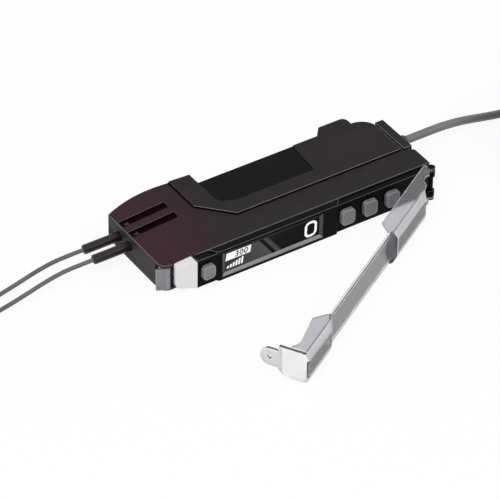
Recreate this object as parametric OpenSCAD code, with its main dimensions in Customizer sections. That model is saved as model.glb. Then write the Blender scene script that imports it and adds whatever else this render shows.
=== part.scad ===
// Fibre optic sensor amplifier: a slim rail-mounted unit that lies on its flat
// side, with its hinged dust cover swung open. Millimetres, +Z up.
// +X runs to the cable end, -X to the fibre end, -Y to the display, +Y to the rail.

/* [Housing] */
// From the middle line to the fibre end
nose_x = 38.4; // [38:0.1:40]
// From the middle line to the cable end
tail_x = 39; // [38:0.1:41]
// Thickness over the raised parts of the two sides
body_t = 9.8; // [9.6:0.1:11.5]
// From the middle line to the front edge of the sides
front_d = 12.5; // [12.2:0.1:14]
// Wall of the two shells
wall = 1.2; // [1:0.05:1.4]
// How far the raised part stands over the rest of each side
step = 0.4; // [0.25:0.05:0.55]
// Height of the parting plane of the shells
split_z = 5.1; // [4.8:0.1:5.4]
// Length of the sloping fibre end
nose_l = 14.4; // [13:0.2:16]
// How far the upper side falls over the fibre end
nose_drop = 1.1; // [0.8:0.05:1.2]
// How far the lower side rises over the fibre end
nose_rise = 0.45; // [0.3:0.05:0.6]
// Corner radius of the fibre end, beside the lock lever
nose_r = 2.2; // [1.5:0.1:2.6]
// Radius of the long curve at the back of the fibre end
back_r = 30; // [24:1:40]

/* [Rail seat] */
// Width of the seat, for a 35 mm rail
seat_w = 35.4; // [35.2:0.1:36.4]
// From the middle line to the fibre-side wall of the seat
seat_x = 14.2; // [13:0.1:15]
// From the middle line to the floor of the seat
seat_d = 11.1; // [10.8:0.1:12]
// Height of the fibre-side hook over the seat floor
hook_h = 3.7; // [3.2:0.1:4.4]
// Height of the cable-side hook over the seat floor
clip_h = 2.8; // [2.6:0.1:3.4]
// Length of the cable-side hook
clip_l = 10.2; // [9:0.1:11]
// How far the two lips reach under the rail
lip = 1.1; // [0.8:0.1:1.4]
// Room for the rail's flange under the lips
flange_gap = 1.2; // [1.1:0.05:1.4]

/* [Label] */
// Depth of the label recess in the upper side
label_in = 0.35; // [0.25:0.05:0.45]
// Length of the label recess along the seat
label_l = 28; // [24:0.5:30]
// Width of the label recess
label_w = 11; // [9:0.5:12]

/* [Front frame] */
// How far the display face stands in front of the sides
neck_h = 2; // [1.8:0.1:2.4]
// How far the frame is set in from each side
neck_in = 0.45; // [0.4:0.05:0.6]
// How far the bezel is set in from each side
bezel_in = 0.05; // [0.05:0.05:0.2]
// How far the bezel stands in front of the frame
bezel_up = 0.2; // [0.1:0.05:0.3]
// Front wall of the frame
frame_t = 1.2; // [1:0.05:1.4]
// How deep the frame sits in the shells
frame_in = 2; // [1.8:0.1:2.2]
// From the middle line to the lamp's edge of the frame
frame_x = 30.3; // [30:0.1:31]
// From the middle line to the fibre-side edge of the bezel
bezel_x = 24.2; // [23.8:0.1:24.4]
// Length of the bezel
bezel_l = 34.2; // [33:0.1:34.4]

/* [Display] */
// Length of the display window
window_l = 29.2; // [26:0.2:30]
// Height of the display window
window_h = 7.2; // [6.8:0.1:7.4]
// Thickness of the display window
window_t = 0.8; // [0.6:0.05:0.9]

/* [Buttons] */
// Width of a button
button_w = 3.9; // [3.6:0.1:4.2]
// Height of a button
button_h = 4.4; // [4.2:0.1:5]
// Corner radius of a button
button_r = 1.1; // [0.7:0.1:1.4]
// How far a button stands out of the frame
button_up = 1.1; // [0.8:0.05:1.15]
// Travel of a button
button_travel = 0.4; // [0.2:0.05:0.5]
// Distance between the three buttons at the cable end
button_pitch = 6.65; // [6:0.05:7]
// From the middle line to the first of those three buttons
button_x = 12.9; // [12.6:0.1:13.4]
// Gap round a button
button_gap = 0.12; // [0.08:0.02:0.16]

/* [Lock lever] */
// Length of the lever from its pivot to its tip
lever_l = 2.6; // [2.2:0.1:3]
// Thickness of the lever's plate
lever_t = 0.9; // [0.7:0.05:1.1]
// Radius of the lever's pin
pin_r = 0.5; // [0.4:0.05:0.55]
// Travel of the fibre clamp that the lever works
clamp_travel = 0.3; // [0.2:0.02:0.32]

/* [Dust cover] */
// How far the closed cover stands in front of the display face
cover_d = 3.2; // [3:0.1:3.6]
// Thickness of the cover
cover_t = 0.9; // [0.7:0.05:1]
// Thickness of the cover's wings
wing_t = 0.6; // [0.5:0.05:0.7]
// Height of the chamfers along the cover
cover_cut = 2; // [1.4:0.1:2.4]
// Angle at which the cover stands open
cover_open = 31.5; // [10:0.5:70]
// Radius of the hinge stubs that the wings snap on
stub_r = 0.5; // [0.4:0.05:0.55]

/* [Fibres and cable] */
// Diameter of a fibre sleeve
sleeve_d = 2.45; // [2.2:0.05:2.6]
// How far a sleeve stands out of the housing
sleeve_out = 10.1; // [9.5:0.1:11]
// Distance between the two fibres
fibre_pitch = 4.6; // [4.4:0.1:5]
// From the floor of the rail seat to the farther fibre
fibre_in = 2.9; // [2.8:0.1:3.2]
// Diameter of a fibre
fibre_d = 1.1; // [1:0.05:1.3]
// Diameter of the cable
cable_d = 2.2; // [2:0.1:2.6]
// From the middle line to the cable
cable_y = 2.8; // [2.4:0.1:3.2]
// Length of the end cap
cap_l = 2.4; // [2.2:0.1:2.6]
// Groove between the end cap and the shells
cap_gap = 0.5; // [0.4:0.05:0.6]

/* [Hidden] */
$fn = 48;
over = 1; // how far a cut runs past the face it opens
fit = 0.05; // clearance of a seated piece
run = 0.05; // radial clearance of a hinge

// Heights, from the side it lies on
low_z = step;
high_z = body_t - step;
neck_z = step + neck_in;
bezel_z = step + bezel_in;
room_z = step + wall;
room_h = body_t - 2 * room_z;
nose_room_z = room_z + nose_rise;
nose_room_top = body_t - room_z - nose_drop;

// Places along Y, from the display face to the back
face_y = -(front_d + neck_h);
bezel_y = face_y - bezel_up;
bezel_back_y = -front_d - fit;
frame_inner_y = face_y + frame_t;
frame_back_y = frame_in - front_d;
switch_y = frame_back_y + 0.9;
board_t = 0.8;
hook_y = seat_d + hook_h;
clip_y = seat_d + clip_h;

// Places along X
seat_0 = -seat_x;
seat_1 = seat_0 + seat_w;
clip_1 = seat_1 + clip_l;
shell_end = tail_x - cap_l - cap_gap;
frame_end = tail_x - 2.4;
slope_x = nose_l - nose_x;

// Display, buttons and boards
mid_z = body_t / 2;
bezel_end = bezel_l - bezel_x;
bezel_flare = 1.9; // how far each end of the bezel spreads towards the sides
window_x = 0.9 - bezel_x;
window_y = bezel_y + 0.1;
window_lip = 0.6;
button_z = mid_z + 0.1;
small_share = 0.9; // size of the button beside the lamp against the others
button_xs = [small_share * button_w / 2 + 1.1 - frame_x, button_x, button_x + button_pitch,
    button_x + 2 * button_pitch];
function button_size(i) = (i == 0 ? small_share : 1) * [button_w, button_h];
button_back = frame_inner_y + 1.2;
flange_out = 0.2;
stem_r = 1;
board_z = room_z + 1;
chip_z = board_z + board_t - fit;
post_r = 1;
post_x = [seat_0 - 2, seat_1 + 4];
post_y = [frame_back_y + 4, seat_d - wall - 1.6];

// Outline of the sides
nose_front = front_d - 0.9;
crown_x = seat_0 - 12.8;
crown_y = hook_y + 0.8;
shoulder_r = shell_end - clip_1 + 0.3;
shoulder_y = seat_d - 0.2 - shoulder_r;
shoulder_a = acos((shoulder_r - 0.3) / shoulder_r);
clip_round = 1.6;
clip_slant = 2.3;
tail_notch_y = -6.2;
cap_y0 = -4.8;
cap_y1 = shoulder_y + shoulder_r * sin(shoulder_a) + 0.4;
back_a = asin((nose_x + crown_x) / back_r);

// Raised part of the sides
rise_x = slope_x + 4;
rise_y = 3.5;
rise_run = 7.5;
rise_front = -4.5;

// Fibre end
fibre_ys = [seat_d - fibre_in - fibre_pitch, seat_d - fibre_in];
sleeve_r = sleeve_d / 2;
sleeve_tip_x = -nose_x - sleeve_out;
optic_x = -bezel_x;
optic_l = 4.6;
can_r = 1.5;
slot_w = 2.3;
slot_in = 0.6;
slot_edge = 0.5;

// Lock lever and fibre clamp
pivot = [1.5 - nose_x, 0.7 - nose_front];
lever_a = 155;
lever_floor = 0.5;
lever_roof = 0.65;
pocket_z = step + nose_rise + lever_floor;
pocket_top = body_t - step - nose_drop - lever_roof;
pocket_back = pivot[1] + 2.6;
pocket_x = pivot[0] + 1.6;
lever_gap = 0.15;
lever_z = pocket_z + lever_gap;
lever_top = pocket_top - lever_gap;
lever_ribs = 5;
rib_up = 0.2;
rib_pitch = lever_l / lever_ribs;
rib_w = 0.4 * rib_pitch;
hub_r = 1;
cam_r = 1.2;
cam_off = 0.45;
cam_gap = 0.15;
clamp_t = 1;
clamp_gap = 0.2;
clamp_play = clamp_travel / 2 + 0.1;
clamp_y0 = pivot[1] + cam_off + cam_r + cam_gap;
clamp_y1 = fibre_ys[1] + sleeve_r + 1;
clamp_z = pocket_z + 0.9;
clamp_top = pocket_top - 0.9;

// Lamp beside the lever
lamp_back = nose_front - 0.1;
lamp_x0 = pocket_x + 0.1;
lamp_gap = 0.12;

// Dust cover, described closed and then swung open
hinge = [tail_x - 1, face_y - 0.1];
ear_r = 1;
ear_t = 1.85;
ear_z = neck_z + 0.1;
bar_r = 0.6;
lug_r = 0.9;
bite_r = 2.7;
bite = hinge - [4.4, 3];
cover_out = face_y - cover_d;
cover_in = cover_out + cover_t;
cut_y = 0.45 * cover_cut;
cut_in = 0.6 * cut_y;
web_w = 0.6; // slanted walls between the wide parts and the strip
wing_gap = 0.1;
wing_z = neck_z - wing_gap - wing_t;
wing_in = wing_z + wing_t;
chamfer_in = wing_in + cover_cut - 0.1;
stub_z = wing_z - wing_gap;
head_t = 0.3;
lug_z = stub_z + head_t + fit;
wing_y = -(front_d + 0.1);
strip_out = cover_out + 1.6;
strip_in = strip_out + 0.6;
strip_z = step;
button_end_x = bezel_end - 0.6;
button_end_ramp = 1.4;
button_end_slant = bezel_flare + 1;
hinge_end_x = hinge[0] - 9;
hinge_end_ramp = 1;
fibre_end_x = -bezel_x - 0.8;
fibre_end_ramp = 2.8;
fibre_end_slant = bezel_flare + 1.3;
cover_tip = -nose_x - 1.6;
fibre_wing_y = wing_y - 1.2;
fibre_wing_r = 3;
flap_y = wing_y + 2.8;
flap_z = wing_in + 0.45;
flap_top = body_t - wing_z - 0.25;
flap_corner = 1.4;
tab_r = 2.5;
tab_y = flap_y + 2.2;
tab_hole_r = 0.6;

// Cable end
cap_tongue = 1;
bush_r = 2;
bush_out = 3.4;
bush_x = tail_x + bush_out;

// Routes of the free cords: out of the sleeve or bush, down to the surface and
// along it to the coil, then from the coil to what is on the far end
cable_lie = cable_d / 2;
cable_run = 40.6;
cable_drop = [[5.6, 1], [11.6, 0.975], [17.6, 0.8], [23.6, 0.475], [29.6, 0.175], [35.6, 0.025]];
cable_coil_r = 16.5;
cable_coil_c = [bush_x + cable_run, cable_y - cable_coil_r];
cable_tail_l = 30;
coil_lanes = 4;
coil_layers = 6;
core_l = 12;
core_d = 0.8;

fibre_lie = fibre_d / 2;
near_run = 48.5;
far_run = 33.5;
fibre_drop = [[3.5, 1], [8.5, 0.96], [13.5, 0.76], [19.5, 0.41], [25.5, 0.1], [30.5, 0]];
fibre_coil_r = 8.25;
near_coil_c = [sleeve_tip_x - near_run, fibre_ys[0] - fibre_coil_r];
far_coil_c = [sleeve_tip_x - far_run, fibre_ys[1] + fibre_coil_r];
fibre_tail_l = 16;
head_r = 1.5;
head_l = 14;
head_tip = 4;

// A box between two corners
module box(low, high) {
    translate(low)
        cube(high - low);
}

// Extrudes a plan outline between two heights
module plate(z0, z1) {
    translate([0, 0, z0])
        linear_extrude(z1 - z0)
            children();
}

// Extrudes an outline drawn in X and Z from y0 to y1
module side_plate(y0, y1) {
    translate([0, y1, 0])
        rotate([90, 0, 0])
            linear_extrude(y1 - y0)
                children();
}

// Extrudes an outline drawn in Y and Z from x0 to x1
module cross_plate(x0, x1) {
    translate([x0, 0, 0])
        rotate([90, 0, 90])
            linear_extrude(x1 - x0)
                children();
}

// A cylinder along X
module rod_x(x0, x1, y, z, r) {
    translate([x0, y, z])
        rotate([0, 90, 0])
            cylinder(h = x1 - x0, r = r);
}

// A cylinder along Y
module rod_y(y0, y1, x, z, r) {
    translate([x, y0, z])
        rotate([-90, 0, 0])
            cylinder(h = y1 - y0, r = r);
}

// A block along Y with rounded corners, centred on x and z
module rounded_block(x, z, w, h, r, y0, y1) {
    box([x - w / 2, y0, z - h / 2 + r], [x + w / 2, y1, z + h / 2 - r]);
    box([x - w / 2 + r, y0, z - h / 2], [x + w / 2 - r, y1, z + h / 2]);
    for (i = [-1, 1], j = [-1, 1])
        rod_y(y0, y1, x + i * (w / 2 - r), z + j * (h / 2 - r), r);
}

function arc(c, r, a0, a1, n) = [for (i = [0:n]) c + r * [cos(a0 + (a1 - a0) * i / n),
    sin(a0 + (a1 - a0) * i / n)]];

// Outline of the sides, anticlockwise from the lever's corner
side_points = concat(
    arc([nose_r - nose_x, nose_r - nose_front], nose_r, 180, 270, 6),
    [[-bezel_x, -front_d], [tail_x, -front_d], [tail_x, tail_notch_y],
     [tail_x - 0.9, cap_y0 - cap_gap], [shell_end, cap_y0 - cap_gap]],
    arc([clip_1, shoulder_y], shoulder_r, shoulder_a, 90, 8),
    arc([clip_1 - clip_round, clip_y - clip_round], clip_round, 0, 90, 5),
    [[seat_1 + clip_slant, clip_y], [seat_1, seat_d], [seat_0, seat_d], [seat_0, hook_y]],
    arc([crown_x, crown_y - back_r], back_r, 90, 90 + back_a, 8));

// The part of the sides that stands proud
rise_points = [
    [rise_x, crown_y + over], [rise_x, rise_y], [rise_x + rise_run, rise_front],
    [shell_end + over, rise_front], [shell_end + over, crown_y + over]];

// Side view of the housing without the raised parts
slope_points = [
    [-nose_x, low_z + nose_rise], [slope_x, low_z], [tail_x, low_z], [tail_x, high_z],
    [slope_x, high_z], [-nose_x, high_z - nose_drop]];

module body_form() {
    intersection() {
        plate(0, body_t)
            polygon(side_points);
        side_plate(-front_d - over, crown_y + over)
            polygon(slope_points);
    }
    plate(0, body_t)
        intersection() {
            polygon(side_points);
            polygon(rise_points);
        }
    rail_lips();
}

// Lips that hold the rail's flange
module rail_lips() {
    lip_z = room_z + 1.2;
    plate(lip_z, body_t - lip_z)
        polygon([[seat_0 - over, seat_d + flange_gap], [seat_0 + lip, seat_d + flange_gap],
            [seat_0 + lip, hook_y - 1], [seat_0, hook_y], [seat_0 - over, hook_y]]);
    plate(lip_z, body_t - lip_z)
        polygon([[seat_1 + clip_slant + over, clip_y], [seat_1 + 0.4, clip_y],
            [seat_1 - lip, clip_y - 0.9], [seat_1 - lip, seat_d + flange_gap],
            [seat_1 + clip_slant + over, seat_d + flange_gap]]);
}

// Everything that is hollow inside the shells
module inside() {
    // the opening that takes the front frame
    box([-frame_x, -front_d - over, neck_z], [frame_end, frame_back_y, body_t - neck_z]);
    // the room for the boards
    box([-bezel_x, frame_back_y - fit, room_z], [clip_1 - wall, seat_d - wall, room_z + room_h]);
    box([clip_1 - 2 * wall, frame_back_y - fit, room_z],
        [shell_end - wall, shoulder_y, room_z + room_h]);
    // the way from the boards to the lamp
    box([lamp_x0 + 1, frame_back_y - fit, nose_room_z],
        [over - bezel_x, frame_back_y + 3, nose_room_top]);
    box([lamp_x0 + 1, -front_d - over, nose_room_z], [-frame_x, frame_back_y, nose_room_top]);
    // the tongue of the end cap
    box([shell_end - wall - over, cap_y0 + 1, room_z], [shell_end + over, cap_y1 - 1, room_z + room_h]);
    for (y = fibre_ys)
        rod_x(-nose_x - over, optic_x + over, y, split_z, sleeve_r + fit);
    lever_room();
    lamp_room();
}

// The corner pocket of the lever, its pin and the slot of the fibre clamp
module lever_room() {
    box([-nose_x - 2 * over, -nose_front - over, pocket_z], [pocket_x, pocket_back, pocket_top]);
    translate([pivot[0], pivot[1], pocket_z - 0.35])
        cylinder(h = pocket_top - pocket_z + 0.7, r = pin_r + fit / 2);
    box([pivot[0] - clamp_t / 2 - clamp_gap, pocket_back - over, clamp_z - clamp_gap],
        [pivot[0] + clamp_t / 2 + clamp_gap, clamp_y1 + 2 * clamp_gap, clamp_top + clamp_gap]);
}

// The seat of the lamp, open to the front
module lamp_room() {
    box([lamp_x0 - lamp_gap, -front_d - over, 0], [-frame_x, -lamp_back, body_t]);
}

// Recess in the upper side for the label, open to the rail seat
module label_outline(grow = 0) {
    x0 = seat_0 + 0.1 - grow;
    x1 = x0 + label_l + 2 * grow;
    y0 = seat_d - label_w - grow;
    polygon([[x0, seat_d], [x0, y0 + 3.1], [x0 + 0.9, y0 + 1.5], [x0 + 4, y0], [x1 - 0.9, y0],
        [x1, seat_d]]);
}

module arrow_mark(y) {
    translate([1.3 - nose_x, y])
        polygon([[0, 0], [1.3, -0.55], [1.3, 0.55]]);
}

// Long slots over the two fibres, which follow the slope of the fibre end
module fibre_slots() {
    fall = nose_drop / nose_l;
    for (y = fibre_ys)
        difference() {
            side_plate(y - slot_w / 2, y + slot_w / 2)
                polygon([
                    [slot_edge - nose_x, high_z - nose_drop + fall * slot_edge - slot_in],
                    [slope_x - 1, high_z - fall - slot_in],
                    [slope_x - 1, high_z + over], [slot_edge - nose_x, high_z + over]]);
            intersection() {
                plate(0, body_t)
                    arrow_mark(y);
                side_plate(y - slot_w / 2, y + slot_w / 2)
                    polygon([[-nose_x, 0], [slope_x, 0], [slope_x, high_z - slot_in + 0.25],
                        [-nose_x, high_z - nose_drop - slot_in + 0.25]]);
            }
        }
}

module upper_shell() {
    color("#3a3236")
        difference() {
            intersection() {
                body_form();
                box([-nose_x - over, -front_d - over, split_z],
                    [tail_x + over, crown_y + over, body_t + over]);
            }
            inside();
            fibre_slots();
            plate(body_t - label_in, body_t + over)
                label_outline();
        }
}

// The lower half of the housing, with the posts of the main board
module lower_shell() {
    color("#38323a") {
        difference() {
            intersection() {
                body_form();
                box([-nose_x - over, -front_d - over, -over], [tail_x + over, crown_y + over, split_z]);
            }
            inside();
        }
        for (x = post_x, y = post_y)
            translate([x, y, room_z - fit])
                cylinder(h = board_z - room_z + fit, r = post_r);
    }
}

module label_plate() {
    color("#1d1c1e")
        plate(body_t - label_in, body_t - label_in + 0.2)
            intersection() {
                label_outline(-0.15);
                translate([seat_0, -seat_d])
                    square([label_l + 1, 2 * seat_d - 0.2]);
            }
}

// The frame round the display and the buttons, with the ears of the cover's hinge
module front_frame() {
    pocket_h = body_t - 2 * neck_z - 1.6;
    color("#1b1a1d")
        difference() {
            union() {
                box([-frame_x, face_y, neck_z], [frame_end, frame_back_y, body_t - neck_z]);
                plate(bezel_z, body_t - bezel_z)
                    polygon([[-bezel_x, bezel_y], [bezel_end, bezel_y],
                        [bezel_end + bezel_flare, bezel_back_y], [-bezel_x - bezel_flare, bezel_back_y]]);
                hinge_ears();
            }
            box([0.5 - frame_x, frame_inner_y, neck_z + 0.8],
                [frame_end - 0.8, frame_back_y + over, neck_z + 0.8 + pocket_h]);
            box([window_x, bezel_y - over, mid_z - window_h / 2],
                [window_x + window_l, window_y + window_t, mid_z + window_h / 2]);
            box([window_x + window_lip, bezel_y - over, mid_z - window_h / 2 + window_lip],
                [window_x + window_l - window_lip, frame_inner_y + over,
                 mid_z + window_h / 2 - window_lip]);
            for (i = [0:3])
                button_block(i, button_gap, button_r + button_gap, bezel_y - over, frame_inner_y + over);
        }
}

// Two ears joined by a bar, with a headed stub on the outer face of each
module hinge_ears() {
    stub_l = ear_z + ear_t / 2 - stub_z;
    for (z = [ear_z, body_t - ear_z - ear_t]) {
        translate([hinge[0], hinge[1], z])
            cylinder(h = ear_t, r = ear_r);
        box([frame_end - over, hinge[1] - 0.6, z], [hinge[0], hinge[1] + ear_r, z + ear_t]);
    }
    for (z = [stub_z, body_t - stub_z - stub_l])
        translate([hinge[0], hinge[1], z])
            cylinder(h = stub_l, r = stub_r);
    for (z = [stub_z, body_t - stub_z - head_t])
        translate([hinge[0], hinge[1], z])
            cylinder(h = head_t, r = ear_r);
    translate([hinge[0], hinge[1], ear_z + ear_t / 2])
        cylinder(h = body_t - 2 * ear_z - ear_t, r = bar_r);
}

module display_window() {
    color("#17181b")
        box([window_x + fit, window_y, mid_z - window_h / 2 + fit],
            [window_x + window_l - fit, window_y + window_t, mid_z + window_h / 2 - fit]);
}

module display_module() {
    color("#20242c")
        box([window_x + 0.8, window_y + window_t + fit, mid_z - window_h / 2 + 0.8],
            [window_x + window_l - 0.8, switch_y, mid_z + window_h / 2 - 0.8]);
}

// The board that stands behind the display and carries the switches
module switch_board() {
    color("#2e5d3b") {
        box([-bezel_x, switch_y, room_z], [shell_end - wall - 0.4, switch_y + board_t, room_z + room_h]);
        box([lamp_x0 + 1.4, switch_y, nose_room_z], [fit - bezel_x, switch_y + board_t, nose_room_top]);
    }
}

// A switch behind each button, with the plunger that the stem pushes
module tact_switches() {
    half = 1.5;
    case_y = switch_y - 1.2;
    color("#8c8f93")
        for (x = button_xs) {
            box([x - half, case_y, button_z - half], [x + half, switch_y, button_z + half]);
            rod_y(button_back + button_travel + fit, case_y + 0.6, x, button_z, 0.8);
        }
}

// A part soldered on the main board
module chip(x, y, w, d, h) {
    box([x, y, chip_z], [x + w, y + d, chip_z + h]);
}

module main_board() {
    x0 = optic_x + optic_l + 0.2;
    x1 = clip_1 - wall - 0.3;
    color("#2f6b42") {
        box([x0, switch_y + board_t, board_z], [x1, seat_d - wall - 0.2, board_z + board_t]);
        chip(seat_0 + 4, frame_back_y + 6, 7, 7, 1.2);
        chip(seat_0 + 16, frame_back_y + 5, 4, 4, 1);
        chip(seat_1 - 5, frame_back_y + 8, 6, 4, 1.6);
    }
}

// The outline of button i, grown on every side and drawn from y0 to y1
module button_block(i, grow, r, y0, y1) {
    size = button_size(i);
    rounded_block(button_xs[i], button_z, size[0] + 2 * grow, size[1] + 2 * grow, r, y0, y1);
}

// A button: its cap, the flange that keeps it in and the stem that works the switch
module button(i) {
    flange_y = frame_inner_y + 0.1;
    flange_t = 0.5;
    color("#8d8b90") {
        button_block(i, 0, button_r, face_y - button_up, flange_y + fit);
        button_block(i, flange_out, button_r, flange_y, flange_y + flange_t);
        rod_y(flange_y + flange_t - fit, button_back, button_xs[i], button_z, stem_r);
    }
}

module lamp_button() { button(0); }
module button_1() { button(1); }
module button_2() { button(2); }
module button_3() { button(3); }

// The white lamp wraps the corner between the lever and the first button
module status_lamp() {
    fall = nose_drop / nose_l;
    lift = nose_rise / nose_l;
    x0 = lamp_x0;
    x1 = -frame_x;
    below = low_z + 0.35;
    above = high_z - 0.15;
    round_r = 1.4;
    color("#eceaeb")
        intersection() {
            plate(0, body_t)
                polygon([[x0, -lamp_back], [x0, -lamp_back - 0.8], [x0 + 0.3, -lamp_back - 1.1],
                    [x1, face_y - 0.1], [x1, -lamp_back]]);
            side_plate(face_y - over, over - lamp_back)
                polygon(concat(
                    arc([x0 + round_r, below + lift * (slope_x - x0) + round_r], round_r, 180, 270, 6),
                    [[x1, below + lift * (slope_x - x1)], [x1, above - fall * (slope_x - x1)],
                     [x0, above - fall * (slope_x - x0)]]));
        }
}

module lamp_led() {
    color("#f3efc4")
        box([lamp_x0 + 2, fit - lamp_back, mid_z - 1], [lamp_x0 + 4, switch_y, mid_z + 1]);
}

// The lock lever: a hub on the pin, a ribbed plate for the nail and a cam
module lock_lever() {
    heel = 0.6;
    color("#7d7b80")
        difference() {
            translate([pivot[0], pivot[1], 0]) {
                plate(lever_z, lever_top)
                    circle(hub_r);
                translate([0, cam_off, clamp_z])
                    cylinder(h = clamp_top - clamp_z, r = cam_r);
                rotate([0, 0, lever_a]) {
                    plate(lever_z, lever_top)
                        translate([-heel, hub_r - lever_t])
                            square([lever_l + heel, lever_t]);
                    for (i = [0:lever_ribs - 1])
                        plate(lever_z, lever_top)
                            translate([rib_w + i * rib_pitch, hub_r - fit])
                                square([rib_w, rib_up + fit]);
                }
            }
            translate([pivot[0], pivot[1], 0])
                cylinder(h = body_t, r = pin_r + run);
        }
}

module lever_pin() {
    color("#c3c5c8")
        translate([pivot[0], pivot[1], pocket_z - 0.3])
            cylinder(h = pocket_top - pocket_z + 0.6, r = pin_r);
}

// The sliding plate that pinches the two sleeves
module fibre_clamp() {
    hole_r = sleeve_r + clamp_play;
    hole_y = clamp_play - fit;
    color("#c9c6c0")
        difference() {
            box([pivot[0] - clamp_t / 2, clamp_y0, clamp_z],
                [pivot[0] + clamp_t / 2, clamp_y1, clamp_top]);
            for (y = fibre_ys)
                rod_x(pivot[0] - clamp_t, pivot[0] + clamp_t, y + hole_y, split_z, hole_r);
        }
}

module optic_block() {
    color("#2a2a2d")
        difference() {
            box([optic_x, fibre_ys[0] - can_r - 0.9, room_z],
                [optic_x + optic_l, seat_d - wall, room_z + room_h]);
            for (y = fibre_ys)
                rod_x(optic_x - over, optic_x + optic_l + over, y, split_z, can_r + fit / 2);
        }
}

module optic_can(y) {
    rod_x(optic_x + 0.3, optic_x + optic_l, y, split_z, can_r);
    for (z = [-0.6, 0.6])
        rod_x(optic_x + optic_l - fit, optic_x + optic_l + 1.5, y, split_z + z, 0.2);
}

module light_emitter() { color("#d8c9a0") optic_can(fibre_ys[1]); }
module light_receiver() { color("#b9c4cf") optic_can(fibre_ys[0]); }

module fibre_sleeve(y) {
    color("#262326")
        rod_x(sleeve_tip_x, optic_x, y, split_z, sleeve_r);
}

module fibre_sleeve_1() { fibre_sleeve(fibre_ys[0]); }
module fibre_sleeve_2() { fibre_sleeve(fibre_ys[1]); }

// Closes the cable end, with a tongue inside the shells
module end_cap() {
    cap_x = tail_x - cap_l;
    color("#2c2a2d")
        difference() {
            union() {
                box([cap_x, cap_y0, 0], [tail_x, cap_y1, body_t]);
                box([shell_end, cap_y0 + 0.5, 0.6], [cap_x + fit, cap_y1 - 0.5, body_t - 0.6]);
                box([shell_end - cap_tongue, cap_y0 + 1, room_z],
                    [shell_end + fit, cap_y1 - 1, room_z + room_h]);
            }
            rod_x(shell_end - 2 * cap_tongue, tail_x + over, cable_y, split_z, bush_r + fit / 2);
        }
}

// The rubber bush that the cable comes out of
module cable_bush() {
    bush_x0 = shell_end - cap_tongue;
    bush_l = bush_x - bush_x0;
    color("#3a3a3d")
        translate([bush_x0, cable_y, split_z])
            rotate([0, 90, 0])
                rotate_extrude()
                    polygon([[0, 0], [bush_r, 0], [bush_r, tail_x - bush_x0 + 0.6],
                        [cable_d / 2 + 0.35, bush_l], [0, bush_l]]);
}

// Outer outline of the closed cover's section, in Y and Z
cover_outer_points = [
    [wing_y, wing_z], [cover_out + cut_y, wing_z], [cover_out, wing_z + cover_cut],
    [cover_out, body_t - wing_z - cover_cut], [cover_out + cut_y, body_t - wing_z],
    [wing_y, body_t - wing_z]];

// Section of its wide parts
cover_wall_points = concat(cover_outer_points, [
    [wing_y, body_t - wing_in], [cover_in + cut_in, body_t - wing_in], [cover_in, body_t - chamfer_in],
    [cover_in, chamfer_in], [cover_in + cut_in, wing_in], [wing_y, wing_in]]);

// Plan of the wide part over the buttons
button_end_points = [
    [button_end_x + button_end_ramp, cover_out], [hinge_end_x - hinge_end_ramp, cover_out],
    [hinge_end_x, cover_in], [hinge_end_x, wing_y], [button_end_x + button_end_slant, wing_y],
    [button_end_x, strip_in], [button_end_x, strip_out]];

// Plan of the wide part over the lamp and the lever, with a curve from the wing to the flap
fibre_end_points = concat(
    [[cover_tip, cover_out], [fibre_end_x - fibre_end_ramp, cover_out], [fibre_end_x, strip_out],
     [fibre_end_x, strip_in], [fibre_end_x - fibre_end_slant, wing_y]],
    arc([cover_tip + fibre_wing_r, fibre_wing_y + fibre_wing_r], fibre_wing_r, 270, 180, 8));

// Plans of the slanted walls at the two ends of the strip
button_web_points = [
    [button_end_x - fit, strip_out], [button_end_x, strip_out], [button_end_x + button_end_ramp, cover_out],
    [button_end_x + button_end_ramp + web_w, cover_in], [button_end_x + web_w, strip_in],
    [button_end_x - fit, strip_in]];
fibre_web_points = [
    [fibre_end_x + fit, strip_out], [fibre_end_x + fit, strip_in], [fibre_end_x, strip_in],
    [fibre_end_x - fibre_end_ramp - web_w, cover_in], [fibre_end_x - fibre_end_ramp, cover_out],
    [fibre_end_x, strip_out]];

// A length of the cover: a section cut to its plan
module cover_wide(section, plan) {
    intersection() {
        cross_plate(cover_tip, hinge_end_x)
            polygon(section);
        plate(0, body_t)
            polygon(plan);
    }
}

// End flap of the cover, which turns in over the fibre end and has a tab for the nail
module cover_flap() {
    flap_x = cover_tip - cover_t;
    tab_z = mid_z + 0.6;
    cross_plate(flap_x, cover_tip + fit)
        polygon([
            [flap_y, flap_z + flap_corner], [flap_y - flap_corner, flap_z], [cover_out + cut_y, flap_z],
            [cover_out, wing_z + cover_cut], [cover_out, body_t - wing_z - cover_cut],
            [cover_out + cut_y, flap_top], [flap_y, flap_top]]);
    difference() {
        union() {
            box([flap_x, flap_y - over, tab_z - tab_r], [cover_tip, tab_y, tab_z + tab_r]);
            rod_x(flap_x, cover_tip, tab_y, tab_z, tab_r);
        }
        rod_x(flap_x - over, cover_tip + over, tab_y, tab_z, tab_hole_r);
    }
}

// The wings run on to the hinge as two lugs that snap on the stubs, sunk for the stubs' heads
module cover_lugs() {
    difference() {
        for (z = [wing_z, body_t - wing_in])
            plate(z, z + wing_t) {
                translate(hinge)
                    circle(lug_r);
                polygon([[hinge_end_x - fit, cover_out + cut_y], hinge, [hinge[0], wing_y],
                    [hinge_end_x - fit, wing_y]]);
            }
        for (z = [lug_z - over, body_t - lug_z])
            translate([hinge[0], hinge[1], z])
                cylinder(h = over, r = ear_r + wing_gap);
        translate([hinge[0], hinge[1], -over])
            cylinder(h = body_t + 2 * over, r = stub_r + run);
        translate([bite[0], bite[1], -over])
            cylinder(h = body_t + 2 * over, r = bite_r);
    }
}

// The narrow strip in front of the display
module cover_strip() {
    box([fibre_end_x, strip_out, strip_z], [button_end_x, strip_in, body_t - strip_z]);
}

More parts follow.
